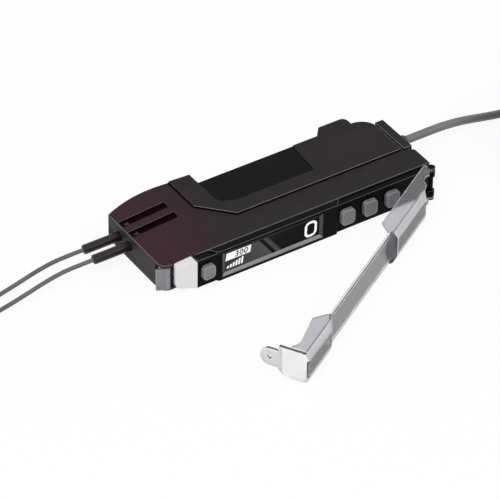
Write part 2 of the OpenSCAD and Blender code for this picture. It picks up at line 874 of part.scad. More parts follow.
module closed_cover() {
    cover_wide(cover_wall_points, button_end_points);
    cover_wide(cover_wall_points, fibre_end_points);
    cover_wide(cover_outer_points, button_web_points);
    cover_wide(cover_outer_points, fibre_web_points);
    cover_strip();
    cover_flap();
    cover_lugs();
}

module dust_cover() {
    color("#dfe3e6", 0.5)
        translate([hinge[0], hinge[1], 0])
            rotate([0, 0, cover_open])
                translate([-hinge[0], -hinge[1], 0])
                    closed_cover();
}

function unit(v) = v / norm(v);

function heading(pts, i) = unit(pts[min(i + 1, len(pts) - 1)] - pts[max(i - 1, 0)]);

// A ring of points square to the route, for a route that never runs upright
function ring(p, t, r, n) = let (u = unit(cross([0, 0, 1], t)), v = cross(t, u))
    [for (j = [0:n - 1]) p + r * (u * cos(360 * j / n) + v * sin(360 * j / n))];

// A round cord swept along its route
module cord_tube(pts, d) {
    n = 8;
    m = len(pts);
    points = [for (i = [0:m - 1]) each ring(pts[i], heading(pts, i), d / 2, n)];
    sides = [for (i = [0:m - 2], j = [0:n - 1])
        let (k = (j + 1) % n) [i * n + j, (i + 1) * n + j, (i + 1) * n + k, i * n + k]];
    polyhedron(points, concat(sides, [[for (j = [0:n - 1]) j]],
        [[for (j = [n - 1:-1:0]) (m - 1) * n + j]]));
}

// The outer form of a wound coil that lies on the surface, r to the middle of its outermost turn
module coil(c, r, d) {
    translate([c[0], c[1], 0])
        rotate_extrude()
            translate([r + d / 2 - coil_lanes * d, 0])
                square([coil_lanes * d, coil_layers * d]);
}

// From the outermost turn on top of a coil, along Y and down to the height low
function coil_tail(c, side, dir, length, d, low) = let (high = (coil_layers - 0.5) * d)
    [for (t = [0:0.125:1]) [c[0] + side, c[1] + dir * length * t,
        low + (high - low) * (1 + cos(180 * t)) / 2]];

// From x at the height of the parting plane, past the points of drop, to where the cord lies;
// drop holds how far each point is from x and its share of the height
function cord_route(x, y, dir, drop, run, lie) = concat([[x, y, split_z]],
    [for (p = drop) [x + dir * p[0], y, lie + (split_z - lie) * p[1]]], [[x + dir * run, y, lie]]);

module fibre(y, c, run, dir) {
    color("#8f8f94") {
        cord_tube(cord_route(sleeve_tip_x, y, -1, fibre_drop, run, fibre_lie), fibre_d);
        cord_tube(coil_tail(c, -fibre_coil_r, dir, fibre_tail_l, fibre_d, head_r), fibre_d);
    }
}

// A threaded sensing head, lying on the surface
module sensing_head(c, dir) {
    y = c[1] + dir * fibre_tail_l;
    color("#b9babd")
        translate([c[0] - fibre_coil_r, y, head_r])
            rotate([-90 * dir, 0, 0]) {
                cylinder(h = head_l - head_tip, r = head_r);
                cylinder(h = head_l, r = head_r * 0.6);
            }
}

module fibre_1() { fibre(fibre_ys[0], near_coil_c, near_run, -1); }
module fibre_1_coil() { color("#8f8f94") coil(near_coil_c, fibre_coil_r, fibre_d); }
module fibre_1_head() { sensing_head(near_coil_c, -1); }
module fibre_2() { fibre(fibre_ys[1], far_coil_c, far_run, 1); }
module fibre_2_coil() { color("#8f8f94") coil(far_coil_c, fibre_coil_r, fibre_d); }
module fibre_2_head() { sensing_head(far_coil_c, 1); }

module cable() {
    color("#6d6e72") {
        cord_tube(cord_route(bush_x, cable_y, 1, cable_drop, cable_run, cable_lie), cable_d);
        cord_tube(coil_tail(cable_coil_c, cable_coil_r, -1, cable_tail_l, cable_d, cable_lie),
            cable_d);
    }
}

module cable_coil() { color("#6d6e72") coil(cable_coil_c, cable_coil_r, cable_d); }

// Stripped cores at the free end of the cable
module cable_cores() {
    x = cable_coil_c[0] + cable_coil_r;
    y = cable_coil_c[1] - cable_tail_l;
    apart = 0.55 * core_d;
    color("#a8653c")
        for (i = [-1, 1], j = [-1, 1])
            rod_y(y - core_l, y, x + i * apart, cable_lie + j * apart, core_d / 2);
}

lower_shell();
upper_shell();
label_plate();
front_frame();
display_window();
display_module();
switch_board();
tact_switches();
main_board();
lamp_button();
button_1();
button_2();
button_3();
status_lamp();
lamp_led();
lock_lever();
lever_pin();
fibre_clamp();
optic_block();
light_emitter();
light_receiver();
fibre_sleeve_1();
fibre_sleeve_2();
end_cap();
cable_bush();
dust_cover();
fibre_1();
fibre_1_coil();
fibre_1_head();
fibre_2();
fibre_2_coil();
fibre_2_head();
cable();
cable_coil();
cable_cores();
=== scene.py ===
# %% [markdown]
# # A fibre optic sensor amplifier
# The amplifier lies on its flat side with its clear dust cover swung open. The imported CAD solids are
# the frame: they are loaded first, and every piece made below is laid over them in the same place.
# The end of the script prints the box of the dressed part.

# %% Load the frame
import math

import bmesh
import bpy
from mathutils import Matrix, Vector


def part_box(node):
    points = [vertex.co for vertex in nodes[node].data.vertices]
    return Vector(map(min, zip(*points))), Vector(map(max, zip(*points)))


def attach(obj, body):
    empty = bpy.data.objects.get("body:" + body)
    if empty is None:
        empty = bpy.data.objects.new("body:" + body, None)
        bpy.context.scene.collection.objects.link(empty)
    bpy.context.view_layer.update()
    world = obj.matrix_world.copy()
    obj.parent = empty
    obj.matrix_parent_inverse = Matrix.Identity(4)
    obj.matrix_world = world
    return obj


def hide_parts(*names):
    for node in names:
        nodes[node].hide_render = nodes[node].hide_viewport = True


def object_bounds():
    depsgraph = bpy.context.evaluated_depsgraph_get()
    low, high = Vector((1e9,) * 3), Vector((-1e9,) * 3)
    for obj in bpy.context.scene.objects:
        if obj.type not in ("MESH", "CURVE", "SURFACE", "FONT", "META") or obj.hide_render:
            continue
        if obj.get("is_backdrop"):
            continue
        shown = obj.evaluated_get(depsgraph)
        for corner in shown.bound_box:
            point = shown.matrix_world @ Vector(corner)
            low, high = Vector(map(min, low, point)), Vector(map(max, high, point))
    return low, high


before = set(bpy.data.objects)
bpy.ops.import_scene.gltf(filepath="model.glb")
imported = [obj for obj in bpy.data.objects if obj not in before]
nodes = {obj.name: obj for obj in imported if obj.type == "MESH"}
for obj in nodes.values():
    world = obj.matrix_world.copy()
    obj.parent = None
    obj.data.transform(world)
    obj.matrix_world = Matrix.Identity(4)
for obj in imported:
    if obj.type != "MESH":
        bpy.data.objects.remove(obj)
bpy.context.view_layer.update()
MM = 0.001

# %% [markdown]
# ## The camera
# A long lens far away gives the flat look of a product photograph. The three axes of the camera are
# worked out from its turn, lift and roll, and the point it aims at is in the middle of the picture.
# A track-to constraint would do as well, but it can't hold the small roll.

# %% Camera
def in_scene(name, data):
    """Makes an object of some data and puts it into the scene."""
    obj = bpy.data.objects.new(name, data)
    bpy.context.scene.collection.objects.link(obj)
    return obj


turn, lift, roll = math.radians(-33.46), math.radians(38.4), math.radians(-0.63)
back = Vector((math.sin(turn) * math.cos(lift), -math.cos(turn) * math.cos(lift), math.sin(lift)))
aside = Vector((math.cos(turn), math.sin(turn), 0))
upward = back.cross(aside)
camera_right = math.cos(roll) * aside - math.sin(roll) * upward
camera_up = math.sin(roll) * aside + math.cos(roll) * upward
aim = Vector((-10.37, -7.0, -0.99)) * MM
CAMERA_FAR = 0.9

camera = in_scene("camera", bpy.data.cameras.new("camera"))
camera.data.sensor_width = 36
camera.data.lens = 265.25
camera.data.clip_start, camera.data.clip_end = 0.05, 20
axes = Matrix((camera_right, camera_up, back)).transposed().to_4x4()
camera.matrix_world = Matrix.Translation(aim + CAMERA_FAR * back) @ axes
bpy.context.scene.camera = camera
print("camera at", [round(v, 3) for v in camera.matrix_world.translation])

# %% [markdown]
# ## A moulded finish
# Plastic is never one flat colour: the tone drifts a little, and a fine grain breaks up its gloss.
# One helper builds that from two noises on Object coordinates, so the pattern keeps its true scale.
# Values that are the same all over go straight on the shader's own sockets.

# %% Shader nodes
def node_of(tree, kind, **inputs):
    """Adds a shader node and sets its inputs, which are named with _ for each space."""
    made = tree.nodes.new("ShaderNode" + kind)
    for name, value in inputs.items():
        made.inputs[name.replace("_", " ")].default_value = value
    return made


def on_object(tree, made):
    """Feeds a node with Object coordinates."""
    tree.links.new(node_of(tree, "TexCoord").outputs["Object"], made.inputs["Vector"])
    return made


def colour_ramp(tree, factor, stops):
    """Runs through some colours: each stop is a place from 0 to 1 and its colour."""
    ramp = node_of(tree, "ValToRGB")
    elements = ramp.color_ramp.elements
    while len(elements) < len(stops):
        elements.new(0.5)
    for element, (place, colour) in zip(elements, stops):
        element.position, element.color = place, (*colour, 1)
    tree.links.new(factor, ramp.inputs["Fac"])
    return ramp.outputs["Color"]

# %% [markdown]
# ### The finish itself
# A moulded face is never quite even to the touch either. So the fine noise that grains the roughness
# also raises the face by a few hundredths of a millimetre. An image could hold all this, but a noise
# has no seams and no size limit. Every plastic, rubber and metal below is one call of this helper.

# %% Moulded finish
GRAIN_SPREAD, GRAIN_HIGH = 0.15, 0.04 * MM


def moulded(name, colour, rough, drift=0.12, blotch=160, grain=4000, bump=0.06, **sockets):
    """A plastic, rubber or metal finish: drifting tone, grained roughness and a slight bump."""
    material = bpy.data.materials.new(name)
    material.use_nodes = True
    tree = material.node_tree
    shader = tree.nodes["Principled BSDF"]
    tone = on_object(tree, node_of(tree, "TexNoise", Scale=blotch, Detail=3))
    dark, light = ([c * k for c in colour] for k in (1 - drift, 1 + drift))
    drifting = colour_ramp(tree, tone.outputs["Fac"], [(0.3, dark), (0.7, light)])
    tree.links.new(drifting, shader.inputs["Base Color"])
    fine = on_object(tree, node_of(tree, "TexNoise", Scale=grain, Detail=2))
    gloss = node_of(tree, "MapRange", To_Min=rough * (1 - GRAIN_SPREAD),
                    To_Max=rough * (1 + GRAIN_SPREAD))
    tree.links.new(fine.outputs["Fac"], gloss.inputs["Value"])
    tree.links.new(gloss.outputs["Result"], shader.inputs["Roughness"])
    raised = node_of(tree, "Bump", Strength=bump, Distance=GRAIN_HIGH)
    tree.links.new(fine.outputs["Fac"], raised.inputs["Height"])
    tree.links.new(raised.outputs["Normal"], shader.inputs["Normal"])
    for socket, value in sockets.items():
        shader.inputs[socket.replace("_", " ")].default_value = value
    return material


def dress(obj, body, slot, *materials):
    """Gives a piece its materials and its body; the slot is not used."""
    for material in materials:
        obj.data.materials.append(material)
    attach(obj, body)
    return obj

# %% [markdown]
# ## The cords
# The grey cable and the two fibres leave the housing at mid height, sink to the surface and run out
# of the picture. The rest is wound in a round coil of four lanes and six layers. A route is a list of
# points in millimetres: first a smooth line through a few chosen places. A rope simulation could find
# these places, but chosen ones are the same in every run.

# %% Smooth lines
EXIT_Z = 5.1
LANES, LAYERS = 4, 6
DROP_STEPS, TURN_STEPS, TAIL_STEPS = 4, 36, 12
# a move to the next lane or layer, in shares of a turn: its length, its last place and its step back
CROSS_LONG, CROSS_LAST, CROSS_STEP = 0.157, 0.758, 0.047


def ease(t):
    """Runs smoothly from 0 to 1."""
    t = min(max(t, 0.0), 1.0)
    return t * t * (3 - 2 * t)


def smooth_line(points, steps):
    """A smooth line through the points, with so many steps between each pair."""
    line = []
    ends = [points[0]] + points + [points[-1]]
    for p0, p1, p2, p3 in zip(ends, ends[1:], ends[2:], ends[3:]):
        for i in range(steps):
            t = i / steps
            line.append(0.5 * (2 * p1 + (p2 - p0) * t + (2 * p0 - 5 * p1 + 4 * p2 - p3) * t * t
                               + (3 * p1 - p0 - 3 * p2 + p3) * t ** 3))
    return line + [points[-1]]

# %% [markdown]
# ### The turns of a coil
# A hand winds a cord turn beside turn and then layer on layer. A helix would do for one lane, but it
# can't step back. So each turn is a circle that moves over to the next lane, or up to the next layer,
# in a long easy S. The places of these moves step back a little from layer to layer, so that a turn
# only moves into room that is already free.

# %% Coil
def lane_and_layer(k):
    """Where turn k lies: the lanes run inwards on one layer and outwards on the next."""
    layer, i = divmod(k, LANES)
    return (i if layer % 2 == 0 else LANES - 1 - i), layer


def coil_line(centre, radius, thick, start, way):
    """The turns of a coil and the last quarter turn, from the angle start in the direction way."""
    turns = LANES * LAYERS - 1
    line = []
    for n in range(turns * TURN_STEPS + TURN_STEPS // 4 + 1):
        k, share = n // TURN_STEPS, n % TURN_STEPS / TURN_STEPS
        lane, layer = lane_and_layer(k)
        if k < turns:
            climbs = k % LANES == LANES - 1
            begin = CROSS_LAST - CROSS_STEP * (2 * layer + climbs)
            move = ease((share - begin) / CROSS_LONG)
            next_lane, next_layer = lane_and_layer(k + 1)
            lane, layer = lane + (next_lane - lane) * move, layer + (next_layer - layer) * move
        angle = start + way * 2 * math.pi * n / TURN_STEPS
        reach = radius - lane * thick
        line.append(Vector((centre[0] + reach * math.cos(angle), centre[1] + reach * math.sin(angle),
                            (layer + 0.5) * thick)))
    return line

# %% [markdown]
# ### The two ends of a route
# At one end a cord leaves its sleeve level and sinks under its own weight, slowly because it is stiff.
# At the other its tail comes down from the top of the coil. Both are eased, with no kink where they
# meet the rest.

# %% Drop and tail
def tail_line(top, way, length, low):
    """From the top of a coil along Y and down to the height low."""
    line = []
    for i in range(1, TAIL_STEPS + 1):
        t = i / TAIL_STEPS
        still_up = (1 + math.cos(math.pi * t)) / 2
        line.append(Vector((top.x, top.y + way * length * t, low + (top.z - low) * still_up)))
    return line


def drop_line(x, y, way, drop, run, lie):
    """The free stretch from its exit to where it lies: drop holds distances and shares of height."""
    points = [Vector((x, y, EXIT_Z))]
    points += [Vector((x + way * d, y, lie + (EXIT_Z - lie) * share)) for d, share in drop]
    return smooth_line(points + [Vector((x + way * run, y, lie))], DROP_STEPS)

# %% [markdown]
# ### From a line to a cord
# A tube could be skinned round the line as a mesh. A curve of one open spline with a round bevel is
# simpler and keeps its thickness in every bend.

# %% Cord
def cord_curve(name, line, thick, slot, material):
    """A round cord along a line in millimetres, as one open spline."""
    curve = bpy.data.curves.new(name, "CURVE")
    curve.dimensions = "3D"
    curve.bevel_depth = thick / 2 * MM
    curve.bevel_resolution = 3
    curve.use_fill_caps = True
    spline = curve.splines.new("POLY")
    spline.points.add(len(line) - 1)
    for point, place in zip(spline.points, line):
        point.co = (*(place * MM), 1)
    spline.use_smooth = True
    return dress(in_scene(name, curve), "amplifier", slot, material)


def length_of(line):
    """The length of a line in metres."""
    return sum((b - a).length for a, b in zip(line, line[1:])) * MM

# %% [markdown]
# ### Jackets, ties and ends
# The fibres have a thin black plastic jacket, the cable a thicker grey one, and each coil is held by
# a flat band. The free end of a fibre is a threaded steel head. It is turned on a lathe, so its
# profile is spun round the axis, with a ridge for every turn of the thread. The cable ends bare, in
# four stripped cores.

# %% Pieces and the lathe
def new_piece(name, bm, body, slot, *materials, smooth=35):
    """Makes an object of a bmesh, with its faces turned outwards, and dresses it."""
    bmesh.ops.remove_doubles(bm, verts=bm.verts, dist=1e-7)
    bmesh.ops.recalc_face_normals(bm, faces=bm.faces)
    mesh = bpy.data.meshes.new(name)
    bm.to_mesh(mesh)
    bm.free()
    for face in mesh.polygons:
        face.use_smooth = True
    mesh.set_sharp_from_angle(angle=math.radians(smooth))
    return dress(in_scene(name, mesh), body, slot, *materials)


def lathe(profile, start, axis, steps=32):
    """Spins a profile of (distance along, radius) in millimetres round an axis from the point start."""
    bm = bmesh.new()
    side = axis.orthogonal().normalized()
    verts = [bm.verts.new((start + axis * along + side * r) * MM) for along, r in profile]
    edges = [bm.edges.new(pair) for pair in zip(verts, verts[1:])]
    bmesh.ops.spin(bm, geom=verts + edges, cent=start * MM, axis=axis, angle=2 * math.pi, steps=steps,
                   use_merge=True, use_duplicate=False)
    return bm

# %% [markdown]
# ### A tie
# A coil is kept by a flat strap that lies tight round its section. It is a rounded rectangle that is
# inset, so that only its rim is left, and drawn out to the strap's width. A loop of curve would do
# too, but it would be round where a strap is flat.

# %% Flat shapes and the tie
def flat_field(wide, high, corner=0.0, segments=5):
    """A flat rectangle, with rounded corners if asked."""
    bm = bmesh.new()
    bmesh.ops.create_grid(bm, x_segments=1, y_segments=1, size=0.5)
    bmesh.ops.scale(bm, vec=(wide, high, 1), verts=bm.verts)
    if corner:
        bmesh.ops.bevel(bm, geom=bm.verts[:], offset=corner, segments=segments, profile=0.5,
                        affect="VERTICES", material=-1)
    return bm


def keep_rim(bm, wide, even):
    """Takes the middle out of a flat shape, so that a rim is left."""
    bmesh.ops.inset_region(bm, faces=bm.faces[:], thickness=wide, use_boundary=True,
                           use_even_offset=even)
    middle = max(bm.faces, key=lambda f: f.calc_area())
    bmesh.ops.delete(bm, geom=[middle], context="FACES")


def draw_out(bm, far):
    """Gives a flat shape its thickness."""
    made = bmesh.ops.extrude_face_region(bm, geom=bm.faces[:])
    top = [v for v in made["geom"] if isinstance(v, bmesh.types.BMVert)]
    bmesh.ops.translate(bm, vec=(0, 0, far), verts=top)


def tie_band(name, centre, radius, thick, angle, material, wide, gauge):
    """A flat band round the section of a coil, at one place on its ring."""
    inner, outer, high = radius + thick / 2 - LANES * thick, radius + thick / 2, LAYERS * thick
    bm = flat_field(outer - inner + 2 * gauge, high + gauge, corner=thick * 0.6, segments=4)
    keep_rim(bm, gauge, even=False)
    draw_out(bm, wide)
    stand = Matrix.Rotation(math.pi / 2, 4, "X")
    out = Matrix.Translation((centre[0], centre[1], 0)) @ Matrix.Rotation(angle, 4, "Z")
    shift = Matrix.Translation(((inner + outer) / 2, wide / 2, (high + gauge) / 2))
    bmesh.ops.transform(bm, matrix=Matrix.Scale(MM, 4) @ out @ shift @ stand, verts=bm.verts)
    return new_piece(name, bm, "amplifier", "bush", material)

# %% [markdown]
# ### The cable
# The grey lead is two metres long, as it is on such amplifiers. Its route is the free drop, the turns
# of the coil and the tail, one after the other, so it stays one cord from its bush to its end.

# %% Cable
cable_jacket = moulded("cable_jacket", (0.15, 0.149, 0.155), 0.42, grain=2500)
fibre_jacket = moulded("fibre_jacket", (0.10, 0.092, 0.094), 0.35, grain=3000)
tie_strap = moulded("tie_strap", (0.02, 0.02, 0.021), 0.5)
head_steel = moulded("head_steel", (0.56, 0.55, 0.54), 0.28, grain=6000, Metallic=1)

CABLE_D, CABLE_Y, CABLE_RUN, CABLE_R, CABLE_TAIL = 2.2, 2.8, 40.6, 16.5, 30
CABLE_TIE_AT = math.radians(160)
CABLE_DROP = [(5.6, 1), (11.6, 0.975), (17.6, 0.8), (23.6, 0.475), (29.6, 0.175), (35.6, 0.025)]
BUSH_TIP = 42.4
cable_centre = (BUSH_TIP + CABLE_RUN, CABLE_Y - CABLE_R)
cable_line = drop_line(BUSH_TIP, CABLE_Y, 1, CABLE_DROP, CABLE_RUN, CABLE_D / 2)
cable_line += coil_line(cable_centre, CABLE_R, CABLE_D, math.pi / 2, -1)[1:]
cable_line += tail_line(cable_line[-1], -1, CABLE_TAIL, CABLE_D / 2)
cable = cord_curve("sensor_cable", cable_line, CABLE_D, "cable", cable_jacket)
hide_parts("cable", "cable_coil")
cable_tie = tie_band("cable_tie", cable_centre, CABLE_R, CABLE_D, CABLE_TIE_AT, tie_strap,
                     wide=4, gauge=0.5)

# %% [markdown]
# ### Stripped cores
# Four thin wires come out of the jacket. Each is turned like a pin: its insulation, a step, and the
# bare strands. The faces past the step take the second material, so a wire stays one piece.

# %% Cores
bare_copper = moulded("bare_copper", (0.55, 0.24, 0.10), 0.32, grain=9000, Metallic=1)
WIRES = [("brown", (0.10, 0.035, 0.012)), ("blue", (0.02, 0.07, 0.32)),
         ("black", (0.012, 0.012, 0.013)), ("white", (0.62, 0.61, 0.58))]
CORE_APART, CORE_R, CORE_LONG = 0.44, 0.4, 12
BARE_FROM, BARE_R, BARE_TIP_R = 8.5, 0.24, 0.16
wire = [(0, 0), (0, CORE_R), (BARE_FROM, CORE_R), (BARE_FROM, BARE_R), (CORE_LONG - 0.1, BARE_R),
        (CORE_LONG, BARE_TIP_R), (CORE_LONG, 0)]
for i, (tint, colour) in enumerate(WIRES):
    side, level = (CORE_APART if i % 2 else -CORE_APART), (CORE_APART if i > 1 else -CORE_APART)
    start = cable_line[-1] + Vector((side, 0, level))
    bm = lathe(wire, start, Vector((0, -1, 0)), steps=16)
    for face in bm.faces:
        face.material_index = int(face.calc_center_median().y < (start.y - BARE_FROM + 0.01) * MM)
    jacket = moulded("core_" + tint, colour, 0.4)
    new_piece("core_" + tint, bm, "amplifier", "copper", jacket, bare_copper)
    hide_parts("cable_cores")

# %% [markdown]
# ### The two fibres
# Each fibre runs out of its black sleeve, is wound in a smaller coil and ends in its sensing head. One
# loop makes both, because only their places and the way they are wound differ: the coils lie on either
# side, so that neither crosses the other. The jacket is the same plastic as the cable's, but darker.

# %% Fibres and heads
FIBRE_D, FIBRE_R, FIBRE_TAIL, SLEEVE_TIP = 1.1, 8.25, 16, -48.5
FIBRE_TIE_AT = math.radians(20)
FIBRE_DROP = [(3.5, 1), (8.5, 0.96), (13.5, 0.76), (19.5, 0.41), (25.5, 0.1), (30.5, 0)]
# the label, the place across, the run up to the coil and the side on which the coil lies
FIBRES = [("1", 3.6, 48.5, -1), ("2", 8.2, 33.5, 1)]
HEAD_R, ROOT_R, RIDGES, PITCH = 1.5, 1.3, 16, 0.5
head_profile = [(0, 0), (0, 1.2), (0.3, HEAD_R)]
for i in range(RIDGES):
    head_profile += [(0.6 + i * PITCH, ROOT_R), (0.85 + i * PITCH, HEAD_R)]
head_profile += [(9.6, HEAD_R), (10, ROOT_R), (10, 0.9), (13.8, 0.9), (14, 0.7), (13.9, 0)]
for label, y, run, way in FIBRES:
    centre = (SLEEVE_TIP - run, y + way * FIBRE_R)
    line = drop_line(SLEEVE_TIP, y, -1, FIBRE_DROP, run, FIBRE_D / 2)
    line += coil_line(centre, FIBRE_R, FIBRE_D, -way * math.pi / 2, -way)[1:]
    line += tail_line(line[-1], way, FIBRE_TAIL, HEAD_R)
    fibre = cord_curve("light_fibre_" + label, line, FIBRE_D, "fibre", fibre_jacket)
    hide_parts("fibre_" + label, "fibre_" + label + "_coil")
    tie = tie_band("fibre_tie_" + label, centre, FIBRE_R, FIBRE_D, FIBRE_TIE_AT, tie_strap,
                   wide=2.4, gauge=0.3)
    bm = lathe(head_profile, line[-1], Vector((0, way, 0)))
    head = new_piece("fibre_head_" + label, bm, "amplifier", "head", head_steel)
    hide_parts("fibre_" + label + "_head")
    print("fibre", label, "length", round(length_of(line), 3))

# %% [markdown]
# ## Soft edges
# The CAD solids have knife edges. Real mouldings have a small round on every edge, and it is what
# catches the light as a thin bright line. A copy of the solid is merged, its flat faces are joined
# and its sharp outer edges are bevelled; inner corners stay crisp, as a mould leaves them. An edge
# beside a face that is too narrow for the round is left out, so two rounds never run into each other.
# Two attributes go to the finishes: how strong a round's painted highlight is, most where it looks up,
# and which faces look up at all.

# %% Soft copy
STRAIGHT_ON, ROOM_FOR_TWO = 0.85, 2.05


def has_room(edge, width):
    """True where the faces beside an edge are wide enough to round it."""
    along = (edge.verts[0].co - edge.verts[1].co).normalized()
    for vert in edge.verts:
        for other in vert.link_edges:
            if other is edge or not set(other.link_faces) & set(edge.link_faces):
                continue
            across = (other.verts[0].co - other.verts[1].co).normalized()
            if abs(along.dot(across)) < STRAIGHT_ON and other.calc_length() < ROOM_FOR_TWO * width:
                return False
    return True


def soft_copy(node, width, body, slot, *materials, before=None, after=None, sharp=28, smooth=50):
    """A copy of a CAD solid with rounded edges that stands for the node; before and after shape it."""
    bm = bmesh.new()
    bm.from_mesh(nodes[node].data)
    bmesh.ops.remove_doubles(bm, verts=bm.verts, dist=2e-6)
    bmesh.ops.dissolve_limit(bm, angle_limit=math.radians(0.6), verts=bm.verts, edges=bm.edges)
    painted_highlight = bm.faces.layers.float.new("painted_highlight")
    if before:
        before(bm)
    crisp = [e for e in bm.edges if e.is_manifold and e.is_convex and has_room(e, width * MM)
             and e.calc_face_angle() > math.radians(sharp)]
    made = bmesh.ops.bevel(bm, geom=crisp, offset=width * MM, offset_type="OFFSET", affect="EDGES",
                           segments=2, profile=0.5, material=-1, clamp_overlap=False)
    bm.normal_update()
    # the painted highlight is strongest on rounds that look up to the lamps
    for face in made["faces"]:
        face[painted_highlight] = min(max(1.6 * face.normal.z - 0.45, 0.02), 1.0)
    upward = bm.faces.layers.float.new("upward")
    for face in bm.faces:
        face[upward] = min(max(2.5 * face.normal.z - 1.25, 0.0), 1.0)
    if after:
        after(bm, painted_highlight)
    obj = new_piece(node + "_form", bm, body, slot, *materials, smooth=smooth)
    even = obj.modifiers.new("even_normals", "WEIGHTED_NORMAL")
    even.keep_sharp = True
    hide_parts(node)
    print(node, "faces", len(obj.data.polygons), "edges rounded", len(crisp))

# %% [markdown]
# ## The housing
# Two half shells of dark charcoal plastic, whose upper side warms to a deep maroon at the fibre end,
# where the faces that don't look up get a lighter grey of painted light. The tone could be painted by
# hand on vertices; a gradient along X, held back to faces that look up, is simpler and stays soft at
# any size. The edges get a painted highlight where the bevel's attribute says so, broken up by a
# noise, and shade is painted on the floors of the two slots and at the foot of the raised part.

# %% Blends
def blend_in(material, share, colour):
    """Lays a colour over the base colour of a finish, by a share from 0 to 1."""
    tree = material.node_tree
    shader = tree.nodes["Principled BSDF"]
    blend = node_of(tree, "Mix")
    blend.data_type = "RGBA"
    factor, first, second = (blend.inputs[i] for i in (0, 6, 7))
    second.default_value = (*colour, 1)
    tree.links.new(share, factor)
    tree.links.new(shader.inputs["Base Color"].links[0].from_socket, first)
    tree.links.new(blend.outputs[2], shader.inputs["Base Color"])


def maths(tree, operation, *values):
    """A maths node, whose values are sockets or plain numbers."""
    made = node_of(tree, "Math")
    made.operation = operation
    for socket, value in zip(made.inputs, values):
        if isinstance(value, bpy.types.NodeSocket):
            tree.links.new(value, socket)
        else:
            socket.default_value = value
    return made.outputs[0]


def painted_edge_highlights(material, colour, amount):
    """Paints a highlight of so much on the bevelled edges of a finish, unevenly."""
    tree = material.node_tree
    mark = node_of(tree, "Attribute")
    mark.attribute_name = "painted_highlight"
    patch = on_object(tree, node_of(tree, "TexNoise", Scale=220, Detail=4))
    uneven = node_of(tree, "MapRange", From_Min=0.25, From_Max=0.75, To_Min=amount * 0.6, To_Max=amount)
    tree.links.new(patch.outputs["Fac"], uneven.inputs["Value"])
    highlit = maths(tree, "MULTIPLY", mark.outputs["Fac"], uneven.outputs["Result"])
    blend_in(material, highlit, colour)

# %% [markdown]
# ### The warm end
# The fibre end of the upper side has a maroon cast, while the faces there that don't look up, such as
# the face that the fibres leave, take a lighter cool grey: painted light from the left. Two blends do
# it:
# both grow along X, one for faces that look up and one for all the others.

# %% Warm end
def warm_end(material, warm, cool, x_warm, x_plain):
    """Towards one end along X, warms the faces that look up and paints light on the others in grey."""
    tree = material.node_tree
    place = on_object(tree, node_of(tree, "SeparateXYZ"))
    along = node_of(tree, "MapRange", From_Min=x_plain * MM, From_Max=x_warm * MM)
    along.interpolation_type = "SMOOTHSTEP"
    tree.links.new(place.outputs["X"], along.inputs["Value"])
    looks_up = node_of(tree, "Attribute")
    looks_up.attribute_name = "upward"
    upright = node_of(tree, "MapRange", To_Min=1, To_Max=0)
    tree.links.new(looks_up.outputs["Fac"], upright.inputs["Value"])
    for way, colour in ((upright.outputs["Result"], cool), (looks_up.outputs["Fac"], warm)):
        blend_in(material, maths(tree, "MULTIPLY", along.outputs["Result"], way), colour)


charcoal = moulded("charcoal_housing", (0.0175, 0.0152, 0.0168), 0.46, grain=5000,
                   Specular_IOR_Level=0.08)
# the cool grey at the fibre end is painted light on the faces that don't look up
warm_end(charcoal, (0.0365, 0.0148, 0.0205), (0.030, 0.029, 0.033), -37, -11)
# painted highlight on the charcoal's rounds
painted_edge_highlights(charcoal, (0.30, 0.28, 0.29), 1.0)
# painted shade for the slots and the foot of the raised part
painted_shade = moulded("painted_shade", (0.0045, 0.0012, 0.0018), 0.6, Specular_IOR_Level=0.02)

# %% [markdown]
# ### The foot of the raised part
# A dark line of painted shade runs along the foot of the raised part, where its wall leaves the side in
# shadow. It is too thin to be left to the light. So the edges of the foot are found by the faces beside
# them, a narrow strip is cut off the upper side along them, and that strip takes the painted shade.

# %% Foot line
SIDE_TOP, FOOT_SHADE_WIDE, FOOT_SHORTEST, FOOT_END_Y = 9.4, 0.38, 2, 11
# what counts as the same height, the cosine of a face that looks straight along an axis, and the
# slot of the painted shade
NEAR, LEVEL, PAINTED_SHADE_SLOT = 0.02, 0.99, 1


def cut_faces(bm, faces, place, across):
    """Cuts faces along a plane and returns the faces on both sides of it."""
    parts = [*faces, *(e for f in faces for e in f.edges), *(v for f in faces for v in f.verts)]
    cut = bmesh.ops.bisect_plane(bm, geom=list(dict.fromkeys(parts)), dist=1e-6, plane_co=place,
                                 plane_no=across)
    return [part for part in cut["geom"] if isinstance(part, bmesh.types.BMFace)]


def on_side(place):
    """True at the height of the upper side."""
    return abs(place.z - SIDE_TOP * MM) < NEAR * MM


def raised_foot(bm):
    """The edges at the foot of the raised part, each with the side and the wall that meet in it."""
    foot = []
    for edge in bm.edges:
        if edge.is_manifold and edge.calc_length() > FOOT_SHORTEST * MM and on_side(edge.verts[0].co):
            side, wall = sorted(edge.link_faces, key=lambda f: -f.normal.z)
            middle = wall.calc_center_median() / MM
            rises = abs(wall.normal.z) < 0.1 and middle.z > SIDE_TOP
            if side.normal.z > LEVEL and rises and middle.y < FOOT_END_Y:
                foot.append((edge, side, wall))
    return foot


def paint_foot_shade(bm):
    """Cuts a narrow strip off the upper side along the foot of the raised part and paints shade on it.
    """
    cuts = [(edge.verts[0].co.copy(), wall.normal.copy()) for edge, _, wall in raised_foot(bm)]
    for place, out in cuts:
        sides = [f for f in bm.faces if f.normal.z > LEVEL and on_side(f.calc_center_median())]
        cut_faces(bm, sides, place + out * FOOT_SHADE_WIDE * MM, out)
        bm.normal_update()
    strips = {side for _, side, _ in raised_foot(bm)}
    for face in strips:
        # painted shade along the foot of the raised part
        face.material_index = PAINTED_SHADE_SLOT
    print("foot edges", len(cuts), "strips", len(strips))
